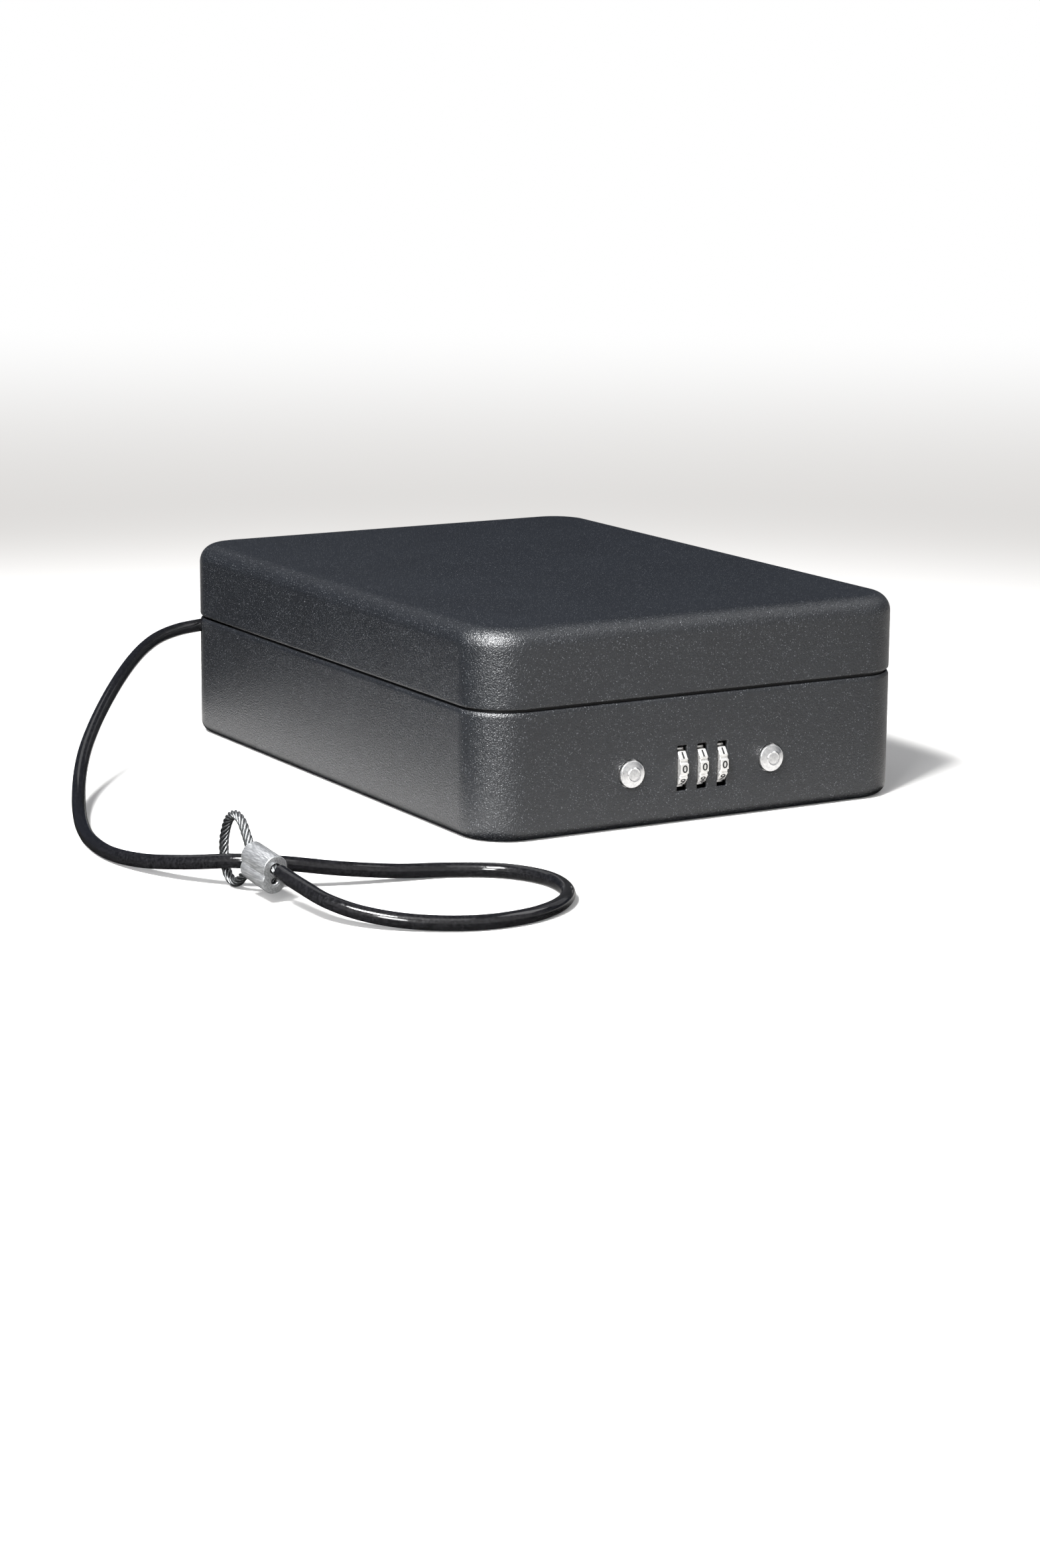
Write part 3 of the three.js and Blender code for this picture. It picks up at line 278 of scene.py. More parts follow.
def filled(loops):
    """Triangles that fill the first loop and leave the others open, as numbers into the loops' joined points."""
    points = np.concatenate(loops)
    starts = np.cumsum([0] + [len(loop) for loop in loops])
    edges = [
        (int(start + k), int(start + (k + 1) % len(loop)))
        for loop, start in zip(loops, starts) for k in range(len(loop))
    ]
    found = delaunay_2d_cdt([Vector(point) for point in points], edges, [], 1, 1e-7)
    if len(found[0]) != len(points):
        raise RuntimeError("The panel's outline crosses itself")
    order = np.array([first[0] for first in found[3]])
    triangles = order[np.array(found[2])]
    centres = points[triangles].mean(1)
    keep = np.ones(len(triangles), bool)
    for loop in loops[1:]:
        keep &= ~inside(centres, loop)
    a, b, c = (points[triangles[:, k]] for k in range(3))
    turn = (b[:, 0] - a[:, 0]) * (c[:, 1] - a[:, 1]) - (b[:, 1] - a[:, 1]) * (c[:, 0] - a[:, 0])
    triangles[turn < 0] = triangles[turn < 0][:, ::-1]
    return triangles[keep]


def inside(points, loop):
    """Which points lie in a loop: an odd number of its sides pass to the right of the point."""
    start, end = loop[None], np.roll(loop, -1, 0)[None]
    x, y = points[:, None, 0], points[:, None, 1]
    spans = (start[..., 1] > y) != (end[..., 1] > y)
    rise = np.where(end[..., 1] == start[..., 1], 1e-12, end[..., 1] - start[..., 1])
    crossing = (end[..., 0] - start[..., 0]) * (y - start[..., 1]) / rise + start[..., 0]
    return (spans & (x < crossing)).sum(1) % 2 == 1


def sheet_form(loops, profile, place, hole_share=1.0):
    """A flat form with rounded edges: each loop is inset by the profile's first number at the height of its
    second, or by hole_share of it round a hole, the loops' ends are filled, and place turns (x, y, height) into
    millimetres in the frame."""
    loops = loops[:1] + [hole[::-1] for hole in loops[1:]]
    parts = []
    for number, loop in enumerate(loops):
        share = hole_share if number else 1.0
        parts.append(skin(np.stack([
            side_by_side(*inset_outline(loop, inset * share).T, height)
            for inset, height in profile
        ]), capped=False))
    points, faces = joined(parts)
    sizes = [len(loop) for loop in loops]
    starts = np.cumsum([0] + [size * len(profile) for size in sizes])
    for row, flip in ((0, True), (len(profile) - 1, False)):
        rows = [np.arange(size) + start + row * size for size, start in zip(sizes, starts)]
        triangles = np.concatenate(rows)[filled([points[one][:, :2] for one in rows])]
        faces += (triangles[:, ::-1] if flip else triangles).tolist()
    return place(points), faces


def edge_profile(low, high, rounding, steps):
    """(inset, height) of a sheet's edge with both of its rims rounded, from the lower face to the upper."""
    lower = arc((rounding, low + rounding), rounding, 270, 180, steps)
    upper = arc((rounding, high - rounding), rounding, 180, 90, steps)
    return np.concatenate([lower, upper])


def new_piece(name, form, material, smooth_angle=None):
    """A mesh object at the origin from (points in millimetres, faces), shaded smooth, with one material."""
    points, faces = form
    mesh = bpy.data.meshes.new(name)
    mesh.from_pydata((np.asarray(points) * MM).tolist(), [], faces)
    mesh.validate()
    mesh.shade_smooth()
    if smooth_angle is not None:
        mesh.set_sharp_from_angle(angle=math.radians(smooth_angle))
    mesh.materials.append(material)
    piece = bpy.data.objects.new(name, mesh)
    bpy.context.scene.collection.objects.link(piece)
    return piece


def settle(piece, node):
    """Puts a piece on its node's body, and hides the node behind it."""
    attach(piece, BODY_OF[node])
    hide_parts(node)
    return piece


def dress(node, form, smooth_angle):
    """A node's dressed piece, made of (points in millimetres, faces) in the finish of the node's slot."""
    return settle(new_piece(f"{node}_dressed", form, finish_of(SLOT_OF[node]), smooth_angle), node)


def dressed_copy(node, rounding, segments=2):
    """A node's own form as one mesh: doubles merged, flat faces made whole, edges rounded by a bevel. Edges that
    turn by more than 40 degrees count as sharp."""
    sharp = math.radians(40)
    mesh = frame["nodes"][node].data.copy()
    work = bmesh.new()
    work.from_mesh(mesh)
    bmesh.ops.remove_doubles(work, verts=work.verts, dist=2e-6)
    bmesh.ops.dissolve_limit(work, angle_limit=math.radians(1), verts=work.verts, edges=work.edges)
    work.to_mesh(mesh)
    work.free()
    mesh.shade_smooth()
    mesh.set_sharp_from_angle(angle=sharp)
    mesh.materials.clear()
    mesh.materials.append(finish_of(SLOT_OF[node]))
    piece = bpy.data.objects.new(f"{node}_dressed", mesh)
    bpy.context.scene.collection.objects.link(piece)
    bevel = piece.modifiers.new("Rounded edges", "BEVEL")
    bevel.width = rounding * MM
    bevel.segments = segments
    bevel.limit_method = "ANGLE"
    bevel.angle_limit = sharp
    bevel.harden_normals = False
    return settle(piece, node)


# ---------------------------------------------------------------- finishes

def linear(colour):
    """An sRGB hex colour as linear red, green and blue: each channel's curve undone."""
    channels = [int(colour[place:place + 2], 16) / 255 for place in (1, 3, 5)]
    return tuple(c / 12.92 if c <= 0.04045 else ((c + 0.055) / 1.055) ** 2.4 for c in channels)


def add(tree, kind, inputs=None, **settings):
    """Adds a node with its settings. A socket in inputs is linked, and a value is written on the input."""
    node = tree.nodes.new(kind)
    for name, value in settings.items():
        setattr(node, name, value)
    for name, value in (inputs or {}).items():
        if isinstance(value, bpy.types.NodeSocket):
            tree.links.new(value, node.inputs[name])
        else:
            node.inputs[name].default_value = value
    return node


def new_finish(name):
    """An empty node material with its Principled shader, and the object's own coordinates in metres."""
    material = bpy.data.materials.new(name)
    material.use_nodes = True
    tree = material.node_tree
    place = add(tree, "ShaderNodeTexCoord").outputs["Object"]
    return material, tree, tree.nodes["Principled BSDF"], place


def colour_mix(tree, share, low, high):
    """A colour between two by a share, in a Mix node. Each is an sRGB hex colour, a linear colour or a socket."""
    low, high = (linear(c) if isinstance(c, str) else c for c in (low, high))
    low, high = (c if isinstance(c, bpy.types.NodeSocket) else (*c, 1) for c in (low, high))
    return add(tree, "ShaderNodeMix", {0: share, 6: low, 7: high}, data_type="RGBA").outputs[2]


def noise(tree, place, size, detail, **more):
    """Noise with grains of a size in millimetres."""
    inputs = {"Vector": place, "Scale": 1 / (size * MM), "Detail": detail, **more}
    return add(tree, "ShaderNodeTexNoise", inputs).outputs["Fac"]


def cells(tree, place, size):
    """Voronoi cells of a size in millimetres: each cell's own colour, and the distance from its middle."""
    return add(tree, "ShaderNodeTexVoronoi", {"Vector": place, "Scale": 1 / (size * MM)}).outputs


def ramp(tree, value, low, high, first=0.0, last=1.0, eased=False):
    """What runs from first to last as the value runs from low to high, and stays there beyond."""
    inputs = {"Value": value, "From Min": low, "From Max": high, "To Min": first, "To Max": last}
    kind = "SMOOTHSTEP" if eased else "LINEAR"
    return add(tree, "ShaderNodeMapRange", inputs, interpolation_type=kind).outputs[0]


def maths(tree, operation, *values):
    """The result of a Math node on numbers or sockets."""
    return add(tree, "ShaderNodeMath", dict(enumerate(values)), operation=operation).outputs[0]


def vector_maths(tree, operation, *values):
    """The result of a Vector Math node: a number for a dot product or a length, or else a vector."""
    outputs = add(tree, "ShaderNodeVectorMath", dict(enumerate(values)), operation=operation).outputs
    return outputs["Value" if operation in ("DOT_PRODUCT", "LENGTH") else "Vector"]


def bumped(tree, shader, height, strength, distance):
    """Lifts a shader's surface by a height from 0 to 1, over a distance in millimetres."""
    bump = add(tree, "ShaderNodeBump", {"Height": height, "Strength": strength, "Distance": distance * MM})
    tree.links.new(bump.outputs[0], shader.inputs["Normal"])


def coloured(tree, shader, share, low, high):
    """Gives a shader a colour between two by a share."""
    tree.links.new(colour_mix(tree, share, low, high), shader.inputs["Base Color"])


def powder_coat():
    """Powder coat baked on steel: a dark grey with fine metal flake, melted to a sandy, half-matt skin. The eye sees
    highlights broken into grains, a dust of light flecks and soft edges. The flecks are pale dots in the coat's
    colour: partly the metal flake's own colour, partly painted glints. The grains are 0.58 mm apart, with a finer
    tooth of 0.3 mm on them."""
    colours = bpy.context.scene.lock_box_colours
    material, tree, shader, place = new_finish("powder coat, charcoal with metal flake")
    grain = noise(tree, place, 0.58, 1.5, Roughness=0.6)
    tooth = noise(tree, place, 0.3, 1.0)
    thick = ramp(tree, noise(tree, place, 30, 3.0), 0.35, 0.7, last=0.25)
    flakes = cells(tree, place, 0.38)
    chance = add(tree, "ShaderNodeSeparateColor", {"Color": flakes["Color"]}).outputs["Red"]
    near = ramp(tree, flakes["Distance"], 0.5, 0.2)
    # The flecks: pale dots, partly the metal flake's own colour and partly painted glints.
    flake_and_painted_glint = maths(tree, "MULTIPLY", ramp(tree, chance, 0.84, 1.0, last=0.46), near)
    body = colour_mix(tree, ramp(tree, grain, 0.32, 0.68), colours.coat_dark, colours.coat)
    body = colour_mix(tree, thick, body, colours.coat_light)
    coloured(tree, shader, flake_and_painted_glint, body, colours.coat_fleck)
    bumped(tree, shader, maths(tree, "MULTIPLY_ADD", tooth, 0.42, grain), 1.0, 0.28)
    shader.inputs["Roughness"].default_value = 0.36
    shader.inputs["Metallic"].default_value = 0.2
    shader.inputs["IOR"].default_value = 1.5
    shader.inputs["Specular IOR Level"].default_value = 0.95
    return material


def brushed_metal(name, colour, shade, roughness, grain_mm, stretch, bump_mm, metallic):
    """A metal with a directional grain: noise stretched along one axis moves its colour and its roughness and
    lifts it a little. A satin plating, whose finest pits scatter light as paint does, is not wholly metallic."""
    material, tree, shader, place = new_finish(name)
    stretched = add(tree, "ShaderNodeMapping", {"Vector": place, "Scale": stretch}).outputs[0]
    grain = noise(tree, stretched, grain_mm, 3.0)
    lined = colour_mix(tree, ramp(tree, grain, 0.35, 0.65), shade, colour)
    dull = ramp(tree, noise(tree, place, 9, 3.0), 0.45, 0.75, last=0.35)
    coloured(tree, shader, dull, lined, shade)
    rough = ramp(tree, grain, 0.3, 0.7, roughness * 0.8, roughness * 1.25)
    tree.links.new(rough, shader.inputs["Roughness"])
    bumped(tree, shader, grain, 0.5, bump_mm)
    shader.inputs["Metallic"].default_value = metallic
    return material


def jacket_plastic():
    """Soft PVC drawn over the rope: near black and glossy, so the eye sees one long white line on it, a little
    uneven where the strands press through."""
    material, tree, shader, place = new_finish("PVC jacket, gloss black")
    dust = ramp(tree, noise(tree, place, 0.9, 2.0), 0.4, 0.8)
    coloured(tree, shader, dust, "#0c0c0d", "#1c1c1e")
    tree.links.new(ramp(tree, dust, 0.0, 1.0, 0.1, 0.2), shader.inputs["Roughness"])
    bumped(tree, shader, noise(tree, place, 3.2, 2.0), 0.2, 0.08)
    shader.inputs["IOR"].default_value = 1.53
    return material


def foam():
    """Closed-cell foam sheet: black and quite matt, with cells of 0.9 mm that show as a fine pitting."""
    material, tree, shader, place = new_finish("closed-cell foam, black")
    wall = ramp(tree, cells(tree, place, 0.9)["Distance"], 0.1, 0.7)
    coloured(tree, shader, wall, "#2c2c2f", "#17171a")
    bumped(tree, shader, wall, 0.6, 0.25)
    shader.inputs["Roughness"].default_value = 0.92
    shader.inputs["Specular IOR Level"].default_value = 0.3
    return material


def black_paint():
    """Satin black stove enamel on sheet steel: dark and even, with a faint orange peel of 1.5 mm."""
    material, tree, shader, place = new_finish("stove enamel, satin black")
    peel = noise(tree, place, 1.5, 2.0)
    coloured(tree, shader, peel, "#060607", "#0f0f10")
    bumped(tree, shader, peel, 0.3, 0.08)
    shader.inputs["Roughness"].default_value = 0.5
    shader.inputs["Specular IOR Level"].default_value = 0.3
    return material


def printed_ink():
    """Black enamel wiped into the figures: satin, with a slight mottle."""
    material, tree, shader, place = new_finish("enamel, black")
    coloured(tree, shader, noise(tree, place, 0.5, 2.0), "#08080a", "#1a1a1c")
    shader.inputs["Roughness"].default_value = 0.4
    return material


METALS = {
    # Bright grey sheet with a fine upright grain
    "steel": ("steel sheet, zinc plated", "#b4b7ba", "#8f9396", 0.32, 0.5, (1, 1, 0.25), 0.03, 1.0),
    # Dark blue-grey strip, drawn along X
    "spring_steel": ("spring steel, blued", "#6d7278", "#474b52", 0.3, 0.3, (0.2, 1, 1), 0.02, 1.0),
    # Warm white satin, almost without a grain
    "nickel": ("zinc casting, nickel plated", "#f2f1ef", "#e2e1de", 0.3, 1.3, (1, 1, 1), 0.004, 0.85),
    # Clear and cold, with sharper reflections than the nickel
    "chrome": ("steel, chrome plated", "#ececec", "#dcdcdd", 0.2, 0.9, (1, 1, 1), 0.004, 0.93),
    # Yellow, with fine lines along X
    "brass": ("brass, turned", "#b99b5a", "#94783f", 0.3, 0.25, (0.2, 1, 1), 0.02, 1.0),
    # Pale and soft, with long scratches along Y
    "aluminium": ("aluminium, drawn", "#dadbdc", "#a9abad", 0.36, 0.4, (1, 0.08, 1), 0.04, 0.85),
    # Dull grey zinc, spotted all over
    "rope": ("steel wire, galvanised", "#a4a6a7", "#6c6e6f", 0.38, 0.3, (1, 1, 1), 0.03, 1.0),
}
OTHER_FINISHES = {
    "paint": powder_coat, "black_steel": black_paint, "jacket": jacket_plastic, "foam": foam, "ink": printed_ink,
}
FINISHES = {}


def finish_of(slot):
    """The material of one of the record's slots, made the first time that it is asked for."""
    if slot not in FINISHES:
        FINISHES[slot] = brushed_metal(*METALS[slot]) if slot in METALS else OTHER_FINISHES[slot]()
    return FINISHES[slot]


# ---------------------------------------------------------------- shells

# The columns' angles in a plain corner, their stations along a plain front, and how far the cable notch lies
# behind the centre of its corner
PLAIN_CORNER = np.linspace(0, 90, 27)[1:-1]
PLAIN_FRONT = np.linspace(-55, 55, 9)
NOTCH_BACK = NOTCH_PLACE[1] - (HALF_DEPTH - CORNER)


def walk_round(stations, corners):
    """Columns once round the box, anticlockwise from above, from the left end of the front: an anchor on the
    rectangle that the corners are centred on, and the angle in which the wall lies from it. A place on the wall
    is anchor + (corner radius - inset) * (cosine, sine) of the angle."""
    reach = (HALF_WIDTH - CORNER, HALF_DEPTH - CORNER)
    anchors, angles = [], []
    for side, (places, corner) in enumerate(zip(stations, corners)):
        ahead = heading(math.radians(90 * side))
        outward = np.array([ahead[1], -ahead[0]])
        long, wide = (reach if side % 2 == 0 else reach[::-1])
        flat = np.concatenate([[-long], places, [long]])
        centre = long * ahead + wide * outward
        anchors += [flat[:, None] * ahead + wide * outward, np.tile(centre, (len(corner), 1))]
        angles += [np.full(len(flat), 90.0 * side - 90), corner + 90.0 * side - 90]
    return np.concatenate(anchors), np.concatenate(angles)


def at_rear_left(anchors, angles):
    """Which columns lie in the rear left corner's round."""
    return (anchors[:, 0] < 0) & (anchors[:, 1] > 0) & (angles > 90) & (angles < 180)


def notch_shift(anchors, angles, inset):
    """The rear left corner's angles at an inset, moved so that the cable notch's two sides stay square to X: at
    each its angle is that whose sine is its own distance in Y over the radius there."""
    lifts = NOTCH_BACK + np.array([NOTCH_RADIUS, -NOTCH_RADIUS])
    own = 180 - np.degrees(np.arcsin(lifts / CORNER))
    moved = 180 - np.degrees(np.arcsin(lifts / (CORNER - min(inset, WALL))))
    shifted = np.interp(angles, [110, own[0], own[1], 180], [110, moved[0], moved[1], 180])
    return np.where(at_rear_left(anchors, angles), shifted, angles)


def shell_rings(anchors, angles, rows, rim):
    """Rings of a pressed tray: each row is an inset and a height, or a height above the rim where its last
    number is 1. The rim's own height changes from column to column."""
    rings = []
    for inset, height, held in rows:
        flat = anchors + (CORNER - inset) * heading(np.radians(notch_shift(anchors, angles, inset)))
        rings.append(side_by_side(*flat.T, height + held * rim))
    return np.stack(rings)


def tray_rows(edge, flat, rise, walls, rim_round, steps):
    """The rows of a tray's outside and inside, from the middle of its outer flat face, over the rim, to the
    middle of its inner one: a quarter round of the edge, the wall, the rim and back. The rim is a quarter of an
    ellipse outside and a small quarter round inside."""
    turn = np.radians(np.linspace(0, 90, steps + 1))

    def quarter(inset, radius, height):
        across, up = inset + radius - radius * np.sin(turn), height + rise * radius * (1 - np.cos(turn))
        return [(a, b, 0) for a, b in zip(across, up)]

    wide, tall = rim_round
    small = WALL - wide
    over = np.radians(np.linspace(0, 90, 9))
    down = np.radians(np.linspace(90, 180, 5))[1:]
    inner_flat = flat + rise * WALL
    rows = [(edge + 6, flat, 0), (edge + 0.7, flat, 0)] + quarter(0, edge, flat)
    rows += [(0, height, 0) for height in walls] + [(0, (-tall - 0.5) * rise, 1)]
    rows += [(wide - wide * np.cos(a), rise * tall * (np.sin(a) - 1), 1) for a in over]
    rows += [(wide - small * np.cos(a), rise * small * (np.sin(a) - 1), 1) for a in down]
    rows += [(WALL, -0.9 * rise, 1)] + [(WALL, height, 0) for height in walls[::-1]]
    rows += quarter(WALL, edge - WALL, inner_flat)[::-1]
    return rows + [(edge + 0.7, inner_flat, 0), (edge + 6, inner_flat, 0)]


def shell_columns(front, rear_left=PLAIN_CORNER):
    """Columns round a shell, from the stations along its front and the angles of its rear left corner: even ones
    at the sides and the back, one 0.7 mm before each corner, and pairs at the hinge notch's ends."""
    front = np.unique(np.concatenate([front, [-70.8, -58, -48, 48, 58, 70.8]]))
    side = np.concatenate([[-102.3], np.linspace(-92, 92, 13), [102.3]])
    pairs = [-70.8, -HINGE_NOTCH - 0.01, -HINGE_NOTCH, HINGE_NOTCH, HINGE_NOTCH + 0.01, 70.8]
    back = np.sort(np.concatenate([pairs, np.linspace(-50, 50, 11)]))
    return walk_round([front, side, back, side], [PLAIN_CORNER, PLAIN_CORNER, rear_left, PLAIN_CORNER])


def base_columns():
    """The base's columns: the front panel's own, and close ones through the cable notch, with pairs at its
    sides."""
    lifts = NOTCH_BACK + NOTCH_RADIUS * np.cos(np.radians(np.linspace(0, 180, 21)))
    through = 90 - np.degrees(np.arcsin(lifts / CORNER))
    sides = [through[0] - 0.03, through[-1] + 0.03]
    rest = PLAIN_CORNER[(PLAIN_CORNER < through[0] - 1) | (PLAIN_CORNER > through[-1] + 1)]
    panel = np.arange(-PANEL_X, PANEL_X + 0.1, 5.5)
    return shell_columns(panel, np.sort(np.concatenate([rest, through, sides])))


def rim_heights(anchors, angles, rim, rise, cable):
    """The rim's height at each column: moved away from the seam along the hinge, and for the base down to a half
    round under the cable."""
    heights = np.full(len(angles), rim)
    back = np.isclose(angles, 90) & (np.abs(anchors[:, 0]) <= HINGE_NOTCH + 0.001)
    heights[back] = SEAM + rise * HINGE_REACH
    if cable:
        lift = anchors[:, 1] + CORNER * np.sin(np.radians(angles)) - NOTCH_PLACE[1]
        cut = at_rear_left(anchors, angles) & (np.abs(lift) <= NOTCH_RADIUS + 0.001)
        heights[cut] = NOTCH_PLACE[2] - np.sqrt(np.maximum(NOTCH_RADIUS ** 2 - lift[cut] ** 2, 0))
    return heights


def front_holes(grow):
    """The outlines of the three dial slots and the two button holes in the front, grown outwards, as (x, z)."""
    wide, tall = SLOT_SIZE[0] / 2 + grow, SLOT_SIZE[1] / 2 + grow
    slot = rounded_corners([[-wide, -tall], [wide, -tall], [wide, tall], [-wide, tall]], 0.45 + grow, 4)
    slots = [slot + [index * DIAL_PITCH, DIAL_AXIS[1]] for index in (-1, 0, 1)]
    return slots + [circle((x, DIAL_AXIS[1]), BUTTON_HOLE + grow, 48) for x in (-BUTTON_X, BUTTON_X)]


def pierced_front(rings, faces, rows):
    """Takes the panel's cells out of both skins of the front wall, fills each flat round the five holes, and
    rolls the holes' edges: from the outer face round 0.35 mm into the wall, then straight to the inner face."""
    points = rings.reshape(-1, 3)
    quads, caps = faces[:-2], faces[-2:]
    middles = points[np.array(quads)].mean(1)
    gone = (np.abs(middles[:, 0]) < PANEL_X) & (middles[:, 2] > PANEL_Z[0]) & (middles[:, 2] < PANEL_Z[1])
    gone &= middles[:, 1] < -HALF_DEPTH + WALL + 0.1
    faces = [face for face, out in zip(quads, gone) if not out] + caps

    roll = 0.35
    turn = np.radians(np.linspace(0, 90, 5))
    steps = [(roll * (1 - math.sin(a)), roll * (1 - math.cos(a))) for a in turn]
    steps += [(0.0, WALL - 0.12), (0.12, WALL)]
    edges = [
        [side_by_side(loop[:, 0], -HALF_DEPTH + deep, loop[:, 1]) for loop in front_holes(grow)]
        for grow, deep in steps
    ]
    outer_loops, inner_loops = [], []
    for hole in zip(*edges):
        count, around = len(hole), len(hole[0])
        numbers = len(points) + np.arange(count * around).reshape(count, around)
        faces += (grid_faces(count, around) + len(points)).tolist()
        points = np.concatenate([points, *hole])
        outer_loops.append(numbers[0])
        inner_loops.append(numbers[-1])

    columns = rings.shape[1]
    middle_ring = rings[len(rows) // 2]
    front = np.where((np.abs(middle_ring[:, 0]) <= PANEL_X + 0.01) & (middle_ring[:, 1] < 0))[0]
    for wall, holes in ((0, outer_loops), (WALL, inner_loops)):
        own_rows = [k for height, k in sorted(
            (height, k) for k, (inset, height, held) in enumerate(rows)
            if not held and inset == wall and PANEL_Z[0] - 0.01 <= height <= PANEL_Z[1] + 0.01)]
        frame_loop = [own_rows[0] * columns + c for c in front]
        frame_loop += [k * columns + front[-1] for k in own_rows[1:]]
        frame_loop += [own_rows[-1] * columns + c for c in front[::-1][1:]]
        frame_loop += [k * columns + front[0] for k in own_rows[::-1][1:-1]]
        loops = [np.array(frame_loop)] + holes
        triangles = np.concatenate(loops)[filled([points[loop][:, [0, 2]] for loop in loops])]
        faces += (triangles if wall == 0 else triangles[:, ::-1]).tolist()
    return points, faces


def base_form():
    """The base tray: its rings, with the front panel pierced."""
    walls = [5.4, 9.0, 14.625, 20.25, 25.875, 31.5, 35.0, 37.5]
    rows = tray_rows(BASE_EDGE, 0.0, 1, walls, BASE_RIM_ROUND, 10)
    columns = base_columns()
    rings = shell_rings(*columns, rows, rim_heights(*columns, BASE_RIM, -1, True))
    return pierced_front(rings, skin(rings)[1], rows)


def lid_form():
    """The lid tray: the same walk, from its inner flat face over the rim to its top."""
    rows = tray_rows(LID_EDGE, HEIGHT, -1, [67.6, 62.0, 56.0, 52.5], LID_RIM_ROUND, 14)
    columns = shell_columns(PLAIN_FRONT)
    return skin(shell_rings(*columns, rows, rim_heights(*columns, LID_RIM, 1, False))[::-1])


def lip_form():
    """The inner lip: a strip that follows the walls from the left side round the front to the right, each of its
    columns the outline of a thin plate with round edges."""
    anchors, angles = shell_columns(PLAIN_FRONT)
    order = np.where(anchors[:, 1] < LIP_REAR)[0]
    on_left = (anchors[order, 0] < 0) & (angles[order] > 179)
    order = np.concatenate([order[on_left], order[~on_left]])
    ends = np.array([[anchors[order[0], 0], LIP_REAR], [anchors[order[-1], 0], LIP_REAR]])
    anchors = np.concatenate([ends[:1], anchors[order], ends[1:]])
    turn = np.radians(np.concatenate([[180], angles[order], [0]]))
    low, high = LIP_HEIGHTS
    section = edge_profile(0, LIP_WALL, 0.5, 4)
    section = np.concatenate([
        side_by_side(LIP_INSET + section[:, 1], low + section[:, 0]),
        side_by_side(LIP_INSET + section[::-1, 1], high - section[::-1, 0]),
    ])
    flat = anchors[:, None] + (CORNER - section[None, :, :1]) * heading(turn)[:, None]
    return skin(side_by_side(flat[..., 0], flat[..., 1], section[:, 1])[:, ::-1])


# ---------------------------------------------------------------- lock

def dial_outline():
    """One dial seen along its axis, anticlockwise, as (along Y, along Z) from the axis: ten flats and ten
    grooves. A groove's corners are rounded over 0.22 mm at its foot and 0.32 mm at its rim."""
    half_flat, half_groove = DIAL_STEP / 2 * DIAL_FACE_SHARE, DIAL_STEP / 2 * (1 - DIAL_GROOVE_SHARE)
    tip = DIAL_RADIUS / math.cos(half_flat)
    low = tip - DIAL_GROOVE
    offsets = np.array([-half_groove, -half_flat, half_flat, half_groove])
    turn = (math.pi + np.arange(10)[:, None] * DIAL_STEP + offsets).ravel()
    corners = np.tile([low, tip, tip, low], 10)[:, None] * heading(turn)
    return rounded_corners(corners, np.tile([0.22, 0.32, 0.32, 0.22], 10), 4)


def dial_form(index):
    """One dial: its outline carried across its thickness with a rim rounded by 0.3 mm at both sides, and the
    bore."""
    outline = dial_outline()
    bore = DIAL_BORE * heading(np.arctan2(outline[:, 1], outline[:, 0]))
    half = DIAL_THICKNESS / 2
    rim = arc((0.3, half - 0.3), 0.3, 180, 90, 4)
    loops = [(bore, half)] + [(inset_outline(outline, inset), along) for inset, along in rim[::-1]]
    loops += [(inset_outline(outline, inset), -along) for inset, along in rim] + [(bore, -half)]
    x = (index - 1) * DIAL_PITCH
    rings = np.stack([
        side_by_side(x + along, DIAL_AXIS[0] + loop[:, 0], DIAL_AXIS[1] + loop[:, 1]) for loop, along in loops
    ])
    return skin(rings[::-1], closed=True)


def flat_figure(number):
    """One figure as flat text, thickened, its points in millimetres round its middle, with its faces. Figures
    are drawn wider than the typeface, the 1 most."""
    text = bpy.data.curves.new("figure", "FONT")
    text.body = str(number)
    text.size = FIGURE_SIZE * MM
    text.align_x = "CENTER"
    text.align_y = "CENTER"
    text.extrude = 0.02 * MM
    text.offset = 0.06 * MM
    holder = bpy.data.objects.new("figure", text)
    bpy.context.scene.collection.objects.link(holder)
    bpy.context.view_layer.update()
    mesh = bpy.data.meshes.new_from_object(holder)
    bpy.data.objects.remove(holder)
    bpy.data.curves.remove(text)
    points = np.zeros(len(mesh.vertices) * 3)
    mesh.vertices.foreach_get("co", points)
    points = points.reshape(-1, 3) / MM
    faces = [list(polygon.vertices) for polygon in mesh.polygons]
    bpy.data.meshes.remove(mesh)
    middle = (points.min(0) + points.max(0)) / 2
    return (points - middle) * [1.3 if number != 1 else 1.5, 1.08, 1], faces


def dial_figures(index):
    """The figures 0 to 9, one on each flat of a dial with 0 to the front and the next above it, as one mesh:
    each is turned by 36 degrees from the one before and laid on its flat."""
    x = (index - 1) * DIAL_PITCH
    parts = []
    for number in range(10):
        points, faces = flat_figure(number)
        turn = number * DIAL_STEP
        outward = np.array([0, -math.cos(turn), math.sin(turn)])
        upward = np.array([0, math.sin(turn), math.cos(turn)])
        centre = np.array([x, DIAL_AXIS[0], DIAL_AXIS[1]]) + outward * (DIAL_RADIUS + 0.012)
        placed = centre + points[:, :1] * [1, 0, 0] + points[:, 1:2] * upward + points[:, 2:] * outward
        parts.append((placed, faces))
    return joined(parts)


